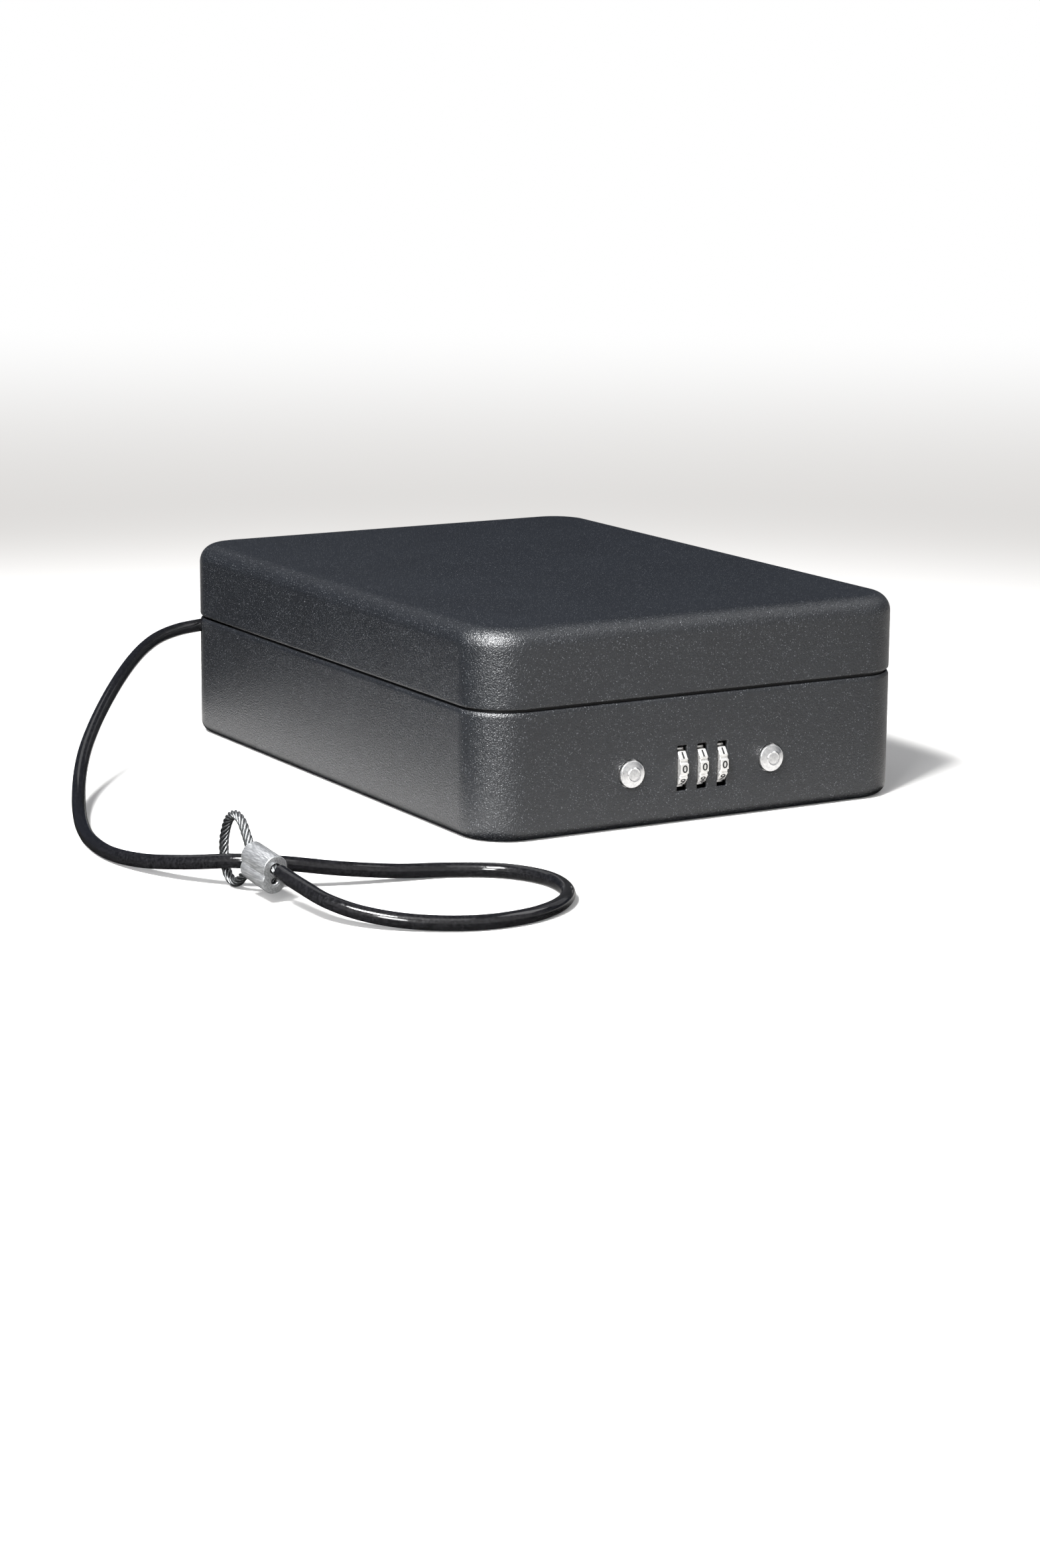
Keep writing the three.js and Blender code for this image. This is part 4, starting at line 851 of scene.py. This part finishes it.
def button_form(side):
    """A push button, turned: a shallow dome with a ring groove in its face, a rounded rim, the flange behind the
    wall, and the stem with its clip groove. The dome is y = face + 1.3 (radius / 5)^2, and the groove takes
    0.25 mm of it at a radius of 2.4 mm."""
    face = -HALF_DEPTH - 1.9
    reach = np.linspace(0, 4.55, 24)
    dome = face + 1.3 * (reach / 5) ** 2 - 0.25 * np.exp(-((reach - 2.4) / 0.2) ** 2)
    rim = arc((4.55, dome[-1] + 0.45), 0.45, -80, 0, 5)
    flange = [[5, -119.95], [6.1, -119.95], [6.4, -119.65], [6.4, -119.05], [6.1, -118.75], [4, -118.75]]
    stem = [[4, -115.5], [3.8, -115.3], [2.25, -115.3], [2.25, -103.65], [1.7, -103.65], [1.7, -102.25],
            [2.25, -102.25], [2.25, -101.7], [1.95, -101.4], [0, -101.4]]
    profile = np.concatenate([side_by_side(reach, dome), rim, flange, stem])
    return turned(profile, 56, (side * BUTTON_X, 0, DIAL_AXIS[1]), (0, 1, 0))


def spring_form(side):
    """A button's coil spring: round wire along a helix, point = (x + 3.35 cos turn, y, z + 3.35 sin turn). The
    rise in y slows to nothing over the first and the last turn, so both ends lie flat."""
    turns, wire, coil = 5, 0.35, 3.35
    share = np.linspace(0, 1, turns * 28 + 1)
    rise = np.interp(share, [0, 0.16, 0.84, 1], [0, 0.075, 0.925, 1])
    angle = 2 * math.pi * turns * share
    near, far = -114.55 + wire, -105.3 - wire
    path = side_by_side(
        side * BUTTON_X + coil * np.cos(angle), near + (far - near) * rise, DIAL_AXIS[1] + coil * np.sin(angle))
    return swept(path, (0, 1, 0), circle((0, 0), wire, 10))


def rivet_form(x, z):
    """A rivet: a shank between two heads, each a low dome that meets its rim with a small round."""
    head, shank, low, high = 1.8, 1.0, -108.3, -102.75
    tilt = np.radians(np.linspace(0, 72, 7))
    dome = [[head * math.sin(a) / math.sin(tilt[-1]), 0.62 * (math.cos(a) - math.cos(tilt[-1]))] for a in tilt]
    rise = dome[0][1]
    profile = [[radius, low + rise - up] for radius, up in dome] + [[head, low + 0.78], [shank, low + 0.8]]
    profile += [[shank, high - 0.8], [head, high - 0.78]]
    profile += [[radius, high - rise + up] for radius, up in dome[::-1]]
    return turned(profile, 32, (x, 0, z), (0, 1, 0))


def stud_form(side):
    """A weld stud: its flanged foot on the wall and a thread, drawn as rings 0.5 mm apart."""
    crest, root, pitch = 1.49, 1.27, 0.5
    profile = [[0, -119.95], [crest, -119.95], [crest, -119.2]]
    for y in np.arange(-118.9, -113.9, pitch):
        profile += [[root, y], [crest, y + 0.2], [crest, y + 0.28], [root, y + 0.48]]
    profile += [[1.2, -113.6], [0, -113.55]]
    return turned(profile, 28, (side * STUD_X, 0, DIAL_AXIS[1]), (0, 1, 0))


def pin_form():
    """The hinge pin: a rod with domed ends."""
    radius, half = 1.24, 54.6
    end = [[radius * math.sin(a), 0.4 * (1 - math.cos(a)) - half] for a in np.radians(np.linspace(0, 90, 6))]
    profile = end + [[radius, -along] for radius, along in end[::-1]]
    return turned(profile, 32, (0, HINGE_AXIS[0], HINGE_AXIS[1]), (1, 0, 0))


def post_form():
    """The anchor post: a foot with its ring of weld, a waisted shank and a rounded mushroom head."""
    weld = [[6 - 1.1 * math.sin(a), 1.55 + 1.4 * (1 - math.cos(a))] for a in np.radians(np.linspace(0, 90, 7))]
    shank = [[4.0, 4.2], [3.9, 6], [3.85, 9.5], [3.95, 12.6], [4.3, 13.5]]
    head = [[5.7, 13.75]] + arc((5.75, 14.3), 0.45, -70, 60, 7).tolist()
    crown = [[6.0 * math.cos(a), 14.7 + 1.3 * math.sin(a)] for a in np.radians(np.linspace(12, 90, 10))]
    profile = [[0, 1.55]] + weld + shank + head + crown[:-1] + [[0, 16.0]]
    return turned(profile, 56, (*POST_PLACE, 0), (0, 0, 1))


def leaf_form(is_lid):
    """A hinge leaf: a flat plate with rounded edges and tabs, and on each tab a knuckle rolled from the sheet.
    The knuckle's section is a strip that runs 300 degrees round the pin, carried across the tab, with its rims
    rounded by 0.12 mm."""
    y, z = HINGE_AXIS
    sign = 1 if is_lid else -1
    first, pitch = -HINGE_LENGTH / 2, HINGE_LENGTH / HINGE_KNUCKLES
    spans = [
        (max(first + k * pitch + KNUCKLE_GAP, -HINGE_HALF), min(first + (k + 1) * pitch - KNUCKLE_GAP, HINGE_HALF))
        for k in range(HINGE_KNUCKLES) if (k % 2 == 1) == is_lid
    ]
    tab, clear, end = 0.05, 2.85, 19.0
    outline = [[-HINGE_HALF, end], [-HINGE_HALF, clear]]
    for low, high in spans:
        outline += [[low, clear], [low, tab], [high, tab], [high, clear]]
    outline += [[HINGE_HALF, clear], [HINGE_HALF, end]]
    points = [one for one, last in zip(outline, [[0, 0]] + outline) if math.dist(one, last) > 0.01]
    loop = rounded_corners(points, [2.5] + [0.2] * (len(points) - 2) + [2.5], 5)

    def place(flat):
        return side_by_side(flat[:, 0], y - BARREL_RADIUS + flat[:, 2], z + sign * flat[:, 1])

    points, faces = sheet_form([loop], edge_profile(0, LEAF_THICKNESS, 0.1, 2), place)
    parts = [(points, [list(face)[::-1] for face in faces] if is_lid else faces)]
    inside_radius = BARREL_RADIUS - LEAF_THICKNESS
    strip = np.concatenate([
        [[-BARREL_RADIUS, tab]], arc((0, 0), BARREL_RADIUS, 180, 480, 40),
        arc((0, 0), inside_radius, 480, 180, 40), [[-inside_radius, tab]],
    ])
    roll, half_roll = 0.12, 0.035
    for low, high in spans:
        rings = []
        for inset, x in ((roll, low), (half_roll, low + half_roll), (0, low + roll),
                         (0, high - roll), (half_roll, high - half_roll), (roll, high)):
            section = inset_outline(strip, inset)
            rings.append(side_by_side(x, y + section[:, 0], z + sign * section[:, 1]))
        rings = np.stack(rings)
        fill = filled([strip])
        ends = np.concatenate([fill[:, ::-1], fill + (len(rings) - 1) * len(strip)])
        faces = ends.tolist() + grid_faces(len(rings), len(strip)).tolist()
        parts.append((rings.reshape(-1, 3), faces if is_lid else [face[::-1] for face in faces]))
    return joined(parts)


# ---------------------------------------------------------------- tether

OUTER_EYE = (
    np.array([-189.4, -133.2, 13.3]),
    np.array([0.06908, -0.98786, -0.13917]),
    np.array([0.00971, -0.13883, 0.99027]),
)
INNER_EYE = (
    np.array([6.0, 84.0, 9.2]),
    np.array([-0.99756, 0.06976, 0.0]),
    np.array([0.06976, 0.99756, 0.0]),
)
EYE_POINTS = np.array([
    [22.2, -2.1], [15.9, -2.1], [11.3, -2.1], [9.3, -2.1], [5.376, -6.67], [1.152, -10.695], [-3.312, -11.27],
    [-7.268, -7.82], [-9.2, 0], [-7.268, 7.82], [-3.312, 11.27], [1.152, 10.695], [5.376, 6.67],
    [9.3, 2.1], [11.3, 2.1], [17.1, 2.1], [24.6, 2.1], [27.3, 2.1],
])


def in_eye(eye, points):
    """Places (along, up, out) of an eye as millimetres in the frame."""
    centre, along, up = eye
    side = np.cross(along, up)
    points = np.asarray(points, float)
    placed = centre + points[..., :1] * along + points[..., 1:2] * up
    return placed + points[..., 2:] * side if points.shape[-1] == 3 else placed


def cable_path(route, start, end):
    """The cable's middle line in millimetres: a smooth curve from start through the route to end. Each height is
    the route's share of the way from the cable at rest on the floor to the notch."""
    heights = CABLE_RADIUS + (NOTCH_PLACE[2] - CABLE_RADIUS) * route[:, 2]
    middle = side_by_side(NOTCH_PLACE[0] + route[:, 0], NOTCH_PLACE[1] + route[:, 1], heights)
    return catmull_rom(np.concatenate([[start], middle, [end]]), 16)


def jacket_form(path):
    """The jacket: a circle of 20 points carried along the path."""
    return swept(path, (0, 0, 1), circle((0, 0), CABLE_RADIUS, 20))


def rope_form(eye):
    """Wire rope: six strands wound round a core. Strand k's centre = path + its offset at the angle k * 60
    degrees + the lay's turn at that length, and its own section is a circle with six ridges, its wires, that
    turn back against the lay."""
    lay_length, offset, strand_radius, core_radius = 12.5, 1.12, 0.55, 0.62
    flat = np.concatenate([EYE_POINTS, np.zeros((len(EYE_POINTS), 1))], 1)
    path = even_path(in_eye(eye, catmull_rom(flat, 12)), 0.45)
    tangent = unit(np.gradient(path, axis=0))
    side = np.cross(eye[1], eye[2])
    across = np.cross(tangent, side)
    lay = 2 * math.pi * lengths_along(path) / lay_length
    around = np.radians(np.arange(0, 360, 15))
    parts = []
    for strand in range(6):
        turn = lay + strand * math.pi / 3
        outward = np.cos(turn)[:, None] * side + np.sin(turn)[:, None] * across
        sideways = np.cross(tangent, outward)
        centre = path + offset * outward
        ridges = around[None] * 6 + lay[:, None] * 7
        radius = strand_radius * (0.9 + 0.1 * np.abs(np.cos(ridges / 2)))
        rings = centre[:, None] + radius[..., None] * (
            np.cos(around)[None, :, None] * outward[:, None] + np.sin(around)[None, :, None] * sideways[:, None]
        )
        parts.append(skin(rings))
    return joined(parts + [swept(path, side, circle((0, 0), core_radius, 8))])


def ferrule_form(eye):
    """The pressed sleeve: a figure of eight in section, two barrels with a shallow waist, rounded at its ends,
    with the two bores open. The lower bore is pinched to 1.2 mm behind the rope's tail by a ring turned in it."""
    turn = np.radians(np.linspace(0, 360, 73)[:-1])
    reach, half_pitch = 4.4, 2.1
    direction = heading(turn)
    top = half_pitch * np.abs(direction[:, 1])
    radius = top + np.sqrt(np.maximum(reach ** 2 - (half_pitch * direction[:, 0]) ** 2, 0))
    bores = [circle((0, height), 2.0, 28) for height in (-half_pitch, half_pitch)]

    def place(points):
        return in_eye(eye, points[:, ::-1] * [1, 1, -1])

    sleeve = sheet_form([radius[:, None] * direction] + bores, edge_profile(*FERRULE_ENDS, 0.28, 4), place, 0.1)
    pinch = [[23.0, 2.06], [23.4, 1.5], [23.9, 1.2], [24.3, 1.16], [24.52, 1.4], [24.56, 2.06], [23.8, 2.2]]
    around = np.radians(np.arange(0, 360, 15))
    rings = np.stack([
        side_by_side(along, -half_pitch + wide * np.cos(around), wide * np.sin(around)) for along, wide in pinch
    ])
    return joined([sleeve, skin(in_eye(eye, rings), closed=True)])


# ---------------------------------------------------------------- settings

class LockBoxColours(bpy.types.PropertyGroup):
    """Colours of the finishes that a user would change."""

    coat: FloatVectorProperty(
        name="Coat", description="The powder coat's main colour", subtype="COLOR", size=3, min=0, max=1,
        default=linear("#181a1e"))
    coat_dark: FloatVectorProperty(
        name="Coat, hollows", description="The powder coat between its grains", subtype="COLOR", size=3,
        min=0, max=1, default=linear("#121417"))
    coat_light: FloatVectorProperty(
        name="Coat, clouds", description="The powder coat where it is thicker", subtype="COLOR", size=3,
        min=0, max=1, default=linear("#1f2226"))
    # The flecks' pale colour: partly the metal flake's own, partly painted glints.
    coat_fleck: FloatVectorProperty(
        name="Flake", description="The metal flake in the coat", subtype="COLOR", size=3, min=0, max=1,
        default=linear("#a0a3a8"))
    floor: FloatVectorProperty(
        name="Floor", description="The surface that the box stands on", subtype="COLOR", size=3, min=0,
        max=1, default=linear("#f4f3f1"))


class LockBoxSizes(bpy.types.PropertyGroup):
    """Sizes of the details that the scene adds."""

    bevel: FloatProperty(
        name="Sheet edge", description="How far the edges of the lock's sheet parts are rounded",
        default=0.15 * MM, min=0, unit="LENGTH")


# ---------------------------------------------------------------- stage

# How far the floor reaches each way in millimetres
FLOOR_REACH = 3000.0

# The photograph's camera: its place in metres, its yaw, pitch and roll in degrees, its lens in millimetres
CAMERA_PLACE = (-0.67783, -1.15676, 0.28462)
CAMERA_TURN = (30.198, 12.394, 0.404)
CAMERA_LENS = 81.16


# Each lamp's name, place, what it is aimed at, its two sizes in metres and its power in watts
LAMPS = (
    ("Key", (-0.96, -0.56, 1.24), (-0.07, -0.1, 0.05), (0.42, 0.3), 88.0),
    ("Low left", (-1.14, -1.06, 0.58), (-0.07, -0.1, 0.05), (0.35, 0.5), 14.0),
    ("Top", (-0.37, -0.64, 1.37), (-0.02, -0.03, 0.04), (0.8, 0.8), 2.0),
    ("Side", (0.9, -0.4, 1.2), (0.05, -0.1, 0.05), (0.8, 0.8), 4.5),
    ("Rear", (-0.1, 1.0, 1.35), (0.0, 0.05, 0.04), (0.9, 0.9), 1.8),
    ("Right", (1.4, 0.35, 0.9), (0.0, 0.05, 0.05), (1.0, 1.0), 1.2),
)


def floor_finish():
    """Matt pale laminate. Near the box the camera sees it lit, and from there on ever more of its own paleness,
    with a painted shade that makes it a little greyer behind the box. What mirrors it sees a painted reflection: a
    glowing strip round the box's foot, seen only by reflections, that dies away 48 mm out beside its left wall and
    75 mm out elsewhere."""
    material, tree, shader, place = new_finish("floor, matt pale laminate")
    floor = bpy.context.scene.lock_box_colours.floor
    coloured(tree, shader, noise(tree, place, 400, 1.0), floor, "#efeeec")
    shader.inputs["Roughness"].default_value = 0.6
    behind = vector_maths(tree, "DOT_PRODUCT", place, (0.5, 0.866, 0.0))
    # Painted shade: the pale that the camera sees turns a little greyer behind the box, and white again far out.
    pale = colour_mix(tree, ramp(tree, behind, 0.1, 0.6, eased=True), "#ffffff", "#dddbd9")
    pale = colour_mix(tree, ramp(tree, behind, 0.5, 1.9, eased=True), pale, "#ffffff")

    # Painted reflection: an emission that only glossy rays see, a light strip round the box's foot, stronger beside
    # the left wall and nothing under the box, which lightens the lower walls.
    half = (HALF_WIDTH * MM, HALF_DEPTH * MM, 0.0)
    over = vector_maths(tree, "SUBTRACT", vector_maths(tree, "ABSOLUTE", place), half)
    reach = vector_maths(tree, "LENGTH", vector_maths(tree, "MAXIMUM", over, (0.0, 0.0, 0.0)))
    across = add(tree, "ShaderNodeSeparateXYZ", {0: place}).outputs["X"]
    left = ramp(tree, across, -0.11, -0.08, 1.0, 0.0, eased=True)
    foot, open_part, foot_edge = (
        ramp(tree, left, 0.0, 1.0, elsewhere, there)
        for elsewhere, there in ((1.2, 3.2), (0.68, 0.02), (0.075, 0.048))
    )
    near = ramp(tree, reach, 0.0, foot_edge, foot, open_part, eased=True)
    near = maths(tree, "MULTIPLY", near, ramp(tree, reach, 0.0, 0.003))
    # Painted reflection: the glowing strip's emission, seen only by glossy rays.
    painted_reflection_glow = add(tree, "ShaderNodeEmission", {"Color": (1, 0.98, 0.96, 1), "Strength": near}).outputs[0]

    glow = add(tree, "ShaderNodeEmission", {"Color": pale, "Strength": 1.0}).outputs[0]
    rays = add(tree, "ShaderNodeLightPath").outputs
    share = maths(tree, "MULTIPLY", rays["Is Camera Ray"], ramp(tree, reach, 0.0, 0.65, 0.1, 1.0, eased=True))
    mixed = add(tree, "ShaderNodeMixShader", {0: share, 1: shader.outputs[0], 2: glow}).outputs[0]
    mixed = add(tree, "ShaderNodeMixShader", {0: rays["Is Glossy Ray"], 1: mixed, 2: painted_reflection_glow}).outputs[0]
    tree.links.new(mixed, tree.nodes["Material Output"].inputs["Surface"])
    return material


def studio_world():
    """A dim room, blue behind the box and warm white before it. The camera sees it white, and so, by half, does
    whatever mirrors the part before the box."""
    world = bpy.data.worlds.new("Studio")
    world.use_nodes = True
    tree = world.node_tree
    rays = add(tree, "ShaderNodeLightPath").outputs
    ahead = add(tree, "ShaderNodeTexCoord").outputs["Generated"]
    front = ramp(tree, vector_maths(tree, "DOT_PRODUCT", ahead, (-0.35, -0.92, 0.0)), -0.15, 0.65, eased=True)
    mirrored = maths(tree, "MULTIPLY", maths(tree, "MULTIPLY", rays["Is Glossy Ray"], front), 0.5)
    seen = maths(tree, "MAXIMUM", rays["Is Camera Ray"], rays["Is Transmission Ray"])
    dim = tree.nodes["Background"]
    tree.links.new(colour_mix(tree, front, "#8798bd", "#f2f0ee"), dim.inputs["Color"])
    dim.inputs["Strength"].default_value = 0.1
    white = add(tree, "ShaderNodeBackground", {"Color": (1, 1, 1, 1), "Strength": 1.0}).outputs[0]
    share = maths(tree, "MAXIMUM", seen, mirrored)
    mixed = add(tree, "ShaderNodeMixShader", {0: share, 1: dim.outputs[0], 2: white}).outputs[0]
    tree.links.new(mixed, tree.nodes["World Output"].inputs["Surface"])
    return world


# ---------------------------------------------------------------- makers

class LOCKBOX_OT_stage(bpy.types.Operator):
    """Sets the camera, the pale floor, the world and the lamps"""

    bl_idname = "lockbox.stage"
    bl_label = "Stage"

    def execute(self, context):
        scene = context.scene
        scene.view_settings.view_transform = "Standard"
        yaw, pitch, roll = (math.radians(angle) for angle in CAMERA_TURN)
        ahead = Vector((math.sin(yaw) * math.cos(pitch), math.cos(yaw) * math.cos(pitch), -math.sin(pitch)))
        level = Vector((math.cos(yaw), -math.sin(yaw), 0))
        upright = level.cross(ahead)
        across = level * math.cos(roll) + upright * math.sin(roll)
        above = upright * math.cos(roll) - level * math.sin(roll)
        camera = bpy.data.cameras.new("Camera")
        camera.lens = CAMERA_LENS
        camera.sensor_width = 36
        holder = bpy.data.objects.new("Camera", camera)
        scene.collection.objects.link(holder)
        holder.matrix_world = Matrix((*zip(across, above, -ahead, CAMERA_PLACE), (0, 0, 0, 1)))
        scene.camera = holder

        corners = np.array([[-1, -1, 0], [1, -1, 0], [1, 1, 0], [-1, 1, 0]])
        new_piece("floor", (corners * FLOOR_REACH, [[0, 1, 2, 3]]), floor_finish())
        scene.world = studio_world()
        for name, spot, aim, size, power in LAMPS:
            lamp = bpy.data.lights.new(name, "AREA")
            lamp.shape = "RECTANGLE"
            lamp.size, lamp.size_y = size
            lamp.energy = power
            holder = bpy.data.objects.new(name, lamp)
            scene.collection.objects.link(holder)
            holder.location = spot
            holder.rotation_euler = (Vector(aim) - Vector(spot)).to_track_quat("-Z", "Y").to_euler()
        return {"FINISHED"}


class LOCKBOX_OT_tether(bpy.types.Operator):
    """Makes the two stretches of jacketed cable, with a rope eye and a pressed sleeve at each end"""

    bl_idname = "lockbox.tether"
    bl_label = "Tether"

    def execute(self, context):
        for hand, eye in (("outer", OUTER_EYE), ("inside", INNER_EYE)):
            for kind, form in (("eye", rope_form), ("ferrule", ferrule_form)):
                dress(f"{kind}_{hand}", form(eye), 35)
        start = np.array(NOTCH_PLACE) + [CABLE_INSET, 0, 0]
        path = cable_path(FREE_ROUTE, start, in_eye(OUTER_EYE, JACKET_END))
        cable = dress("cable_free", jacket_form(path), 60)
        held = cable_path(INNER_ROUTE, start + [CABLE_GAP, 0, 0], in_eye(INNER_EYE, JACKET_END))
        dress("cable_inside", jacket_form(held), 60)
        return {"FINISHED"}


class LOCKBOX_OT_shells(bpy.types.Operator):
    """Makes the base, its inner lip and the lid"""

    bl_idname = "lockbox.shells"
    bl_label = "Shells"

    def execute(self, context):
        dress("base_shell", base_form(), 50)
        dress("lid_shell", lid_form(), 50)
        dress("base_lip", lip_form(), 60)
        return {"FINISHED"}


class LOCKBOX_OT_dials(bpy.types.Operator):
    """Makes the three dials and the figures on them"""

    bl_idname = "lockbox.dials"
    bl_label = "Dials"

    def execute(self, context):
        for index in range(3):
            node = f"dial_{index + 1}"
            dress(node, dial_form(index), 35)
            figures = new_piece(f"{node}_figures", dial_figures(index), finish_of("ink"), 30)
            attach(figures, node)
        return {"FINISHED"}


class LOCKBOX_OT_buttons(bpy.types.Operator):
    """Makes the two push buttons"""

    bl_idname = "lockbox.buttons"
    bl_label = "Buttons"

    def execute(self, context):
        for hand, side in HANDS:
            dress(f"button_{hand}", button_form(side), 40)
        return {"FINISHED"}


class LOCKBOX_OT_works(bpy.types.Operator):
    """Makes the hinge, the pads and the parts of the lock behind the front"""

    bl_idname = "lockbox.works"
    bl_label = "Works"

    def execute(self, context):
        for hand, side in HANDS:
            node = f"button_spring_{hand}"
            spring = new_piece(f"{node}_dressed", spring_form(side), finish_of(SLOT_OF[node]), 60)
            fixed, moved = ((side * BUTTON_X * MM, y * MM, DIAL_AXIS[1] * MM) for y in SPRING_ENDS)
            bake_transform(spring)
            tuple(fixed)
            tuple(moved)
            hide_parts(node)
        dress("hinge_leaf_base", leaf_form(False), 35)
        dress("hinge_leaf_lid", leaf_form(True), 35)
        dress("hinge_pin", pin_form(), 40)
        dress("anchor_post", post_form(), 40)
        for hand, side in HANDS:
            dress(f"weld_stud_{hand}", stud_form(side), 30)
            dress(f"detent_rivet_{hand}", rivet_form(side * LOCK_X, 8.5), 40)
            dress(f"comb_rivet_{hand}", rivet_form(side * LOCK_X, 31.9), 40)
        for node in ("base_liner", "lid_liner"):
            dressed_copy(node, 1.1, segments=4)
        rounding = context.scene.lock_box_sizes.bevel / MM
        for node in ("lock_cover", "striker_left", "striker_right", "lock_frame"):
            dressed_copy(node, 2 * rounding, segments=3)
        for node, source in frame["nodes"].items():
            if not source.hide_render:
                dressed_copy(node, rounding)
        return {"FINISHED"}


class LOCKBOX_PT_panel(bpy.types.Panel):
    """Lists the makers and the settings in the sidebar"""

    bl_idname = "LOCKBOX_PT_panel"
    bl_label = "Lock box"
    bl_space_type = "VIEW_3D"
    bl_region_type = "UI"
    bl_category = "Lock box"

    def draw(self, context):
        for maker in MAKERS:
            self.layout.operator(maker.bl_idname)
        for group in (context.scene.lock_box_colours, context.scene.lock_box_sizes):
            for name in group.__annotations__:
                self.layout.prop(group, name)


MAKERS = (
    LOCKBOX_OT_stage, LOCKBOX_OT_tether, LOCKBOX_OT_shells, LOCKBOX_OT_dials, LOCKBOX_OT_buttons,
    LOCKBOX_OT_works,
)
CLASSES = (LockBoxColours, LockBoxSizes) + MAKERS + (LOCKBOX_PT_panel,)


def register():
    for one in CLASSES:
        bpy.utils.register_class(one)
    bpy.types.Scene.lock_box_colours = PointerProperty(type=LockBoxColours)
    bpy.types.Scene.lock_box_sizes = PointerProperty(type=LockBoxSizes)


def unregister():
    del bpy.types.Scene.lock_box_sizes
    del bpy.types.Scene.lock_box_colours
    for one in reversed(CLASSES):
        bpy.utils.unregister_class(one)


def main():
    register()
    bpy.ops.lockbox.stage()
    bpy.ops.lockbox.tether()
    bpy.ops.lockbox.shells()
    bpy.ops.lockbox.dials()
    bpy.ops.lockbox.buttons()
    bpy.ops.lockbox.works()


if __name__ == "__main__":
    main()
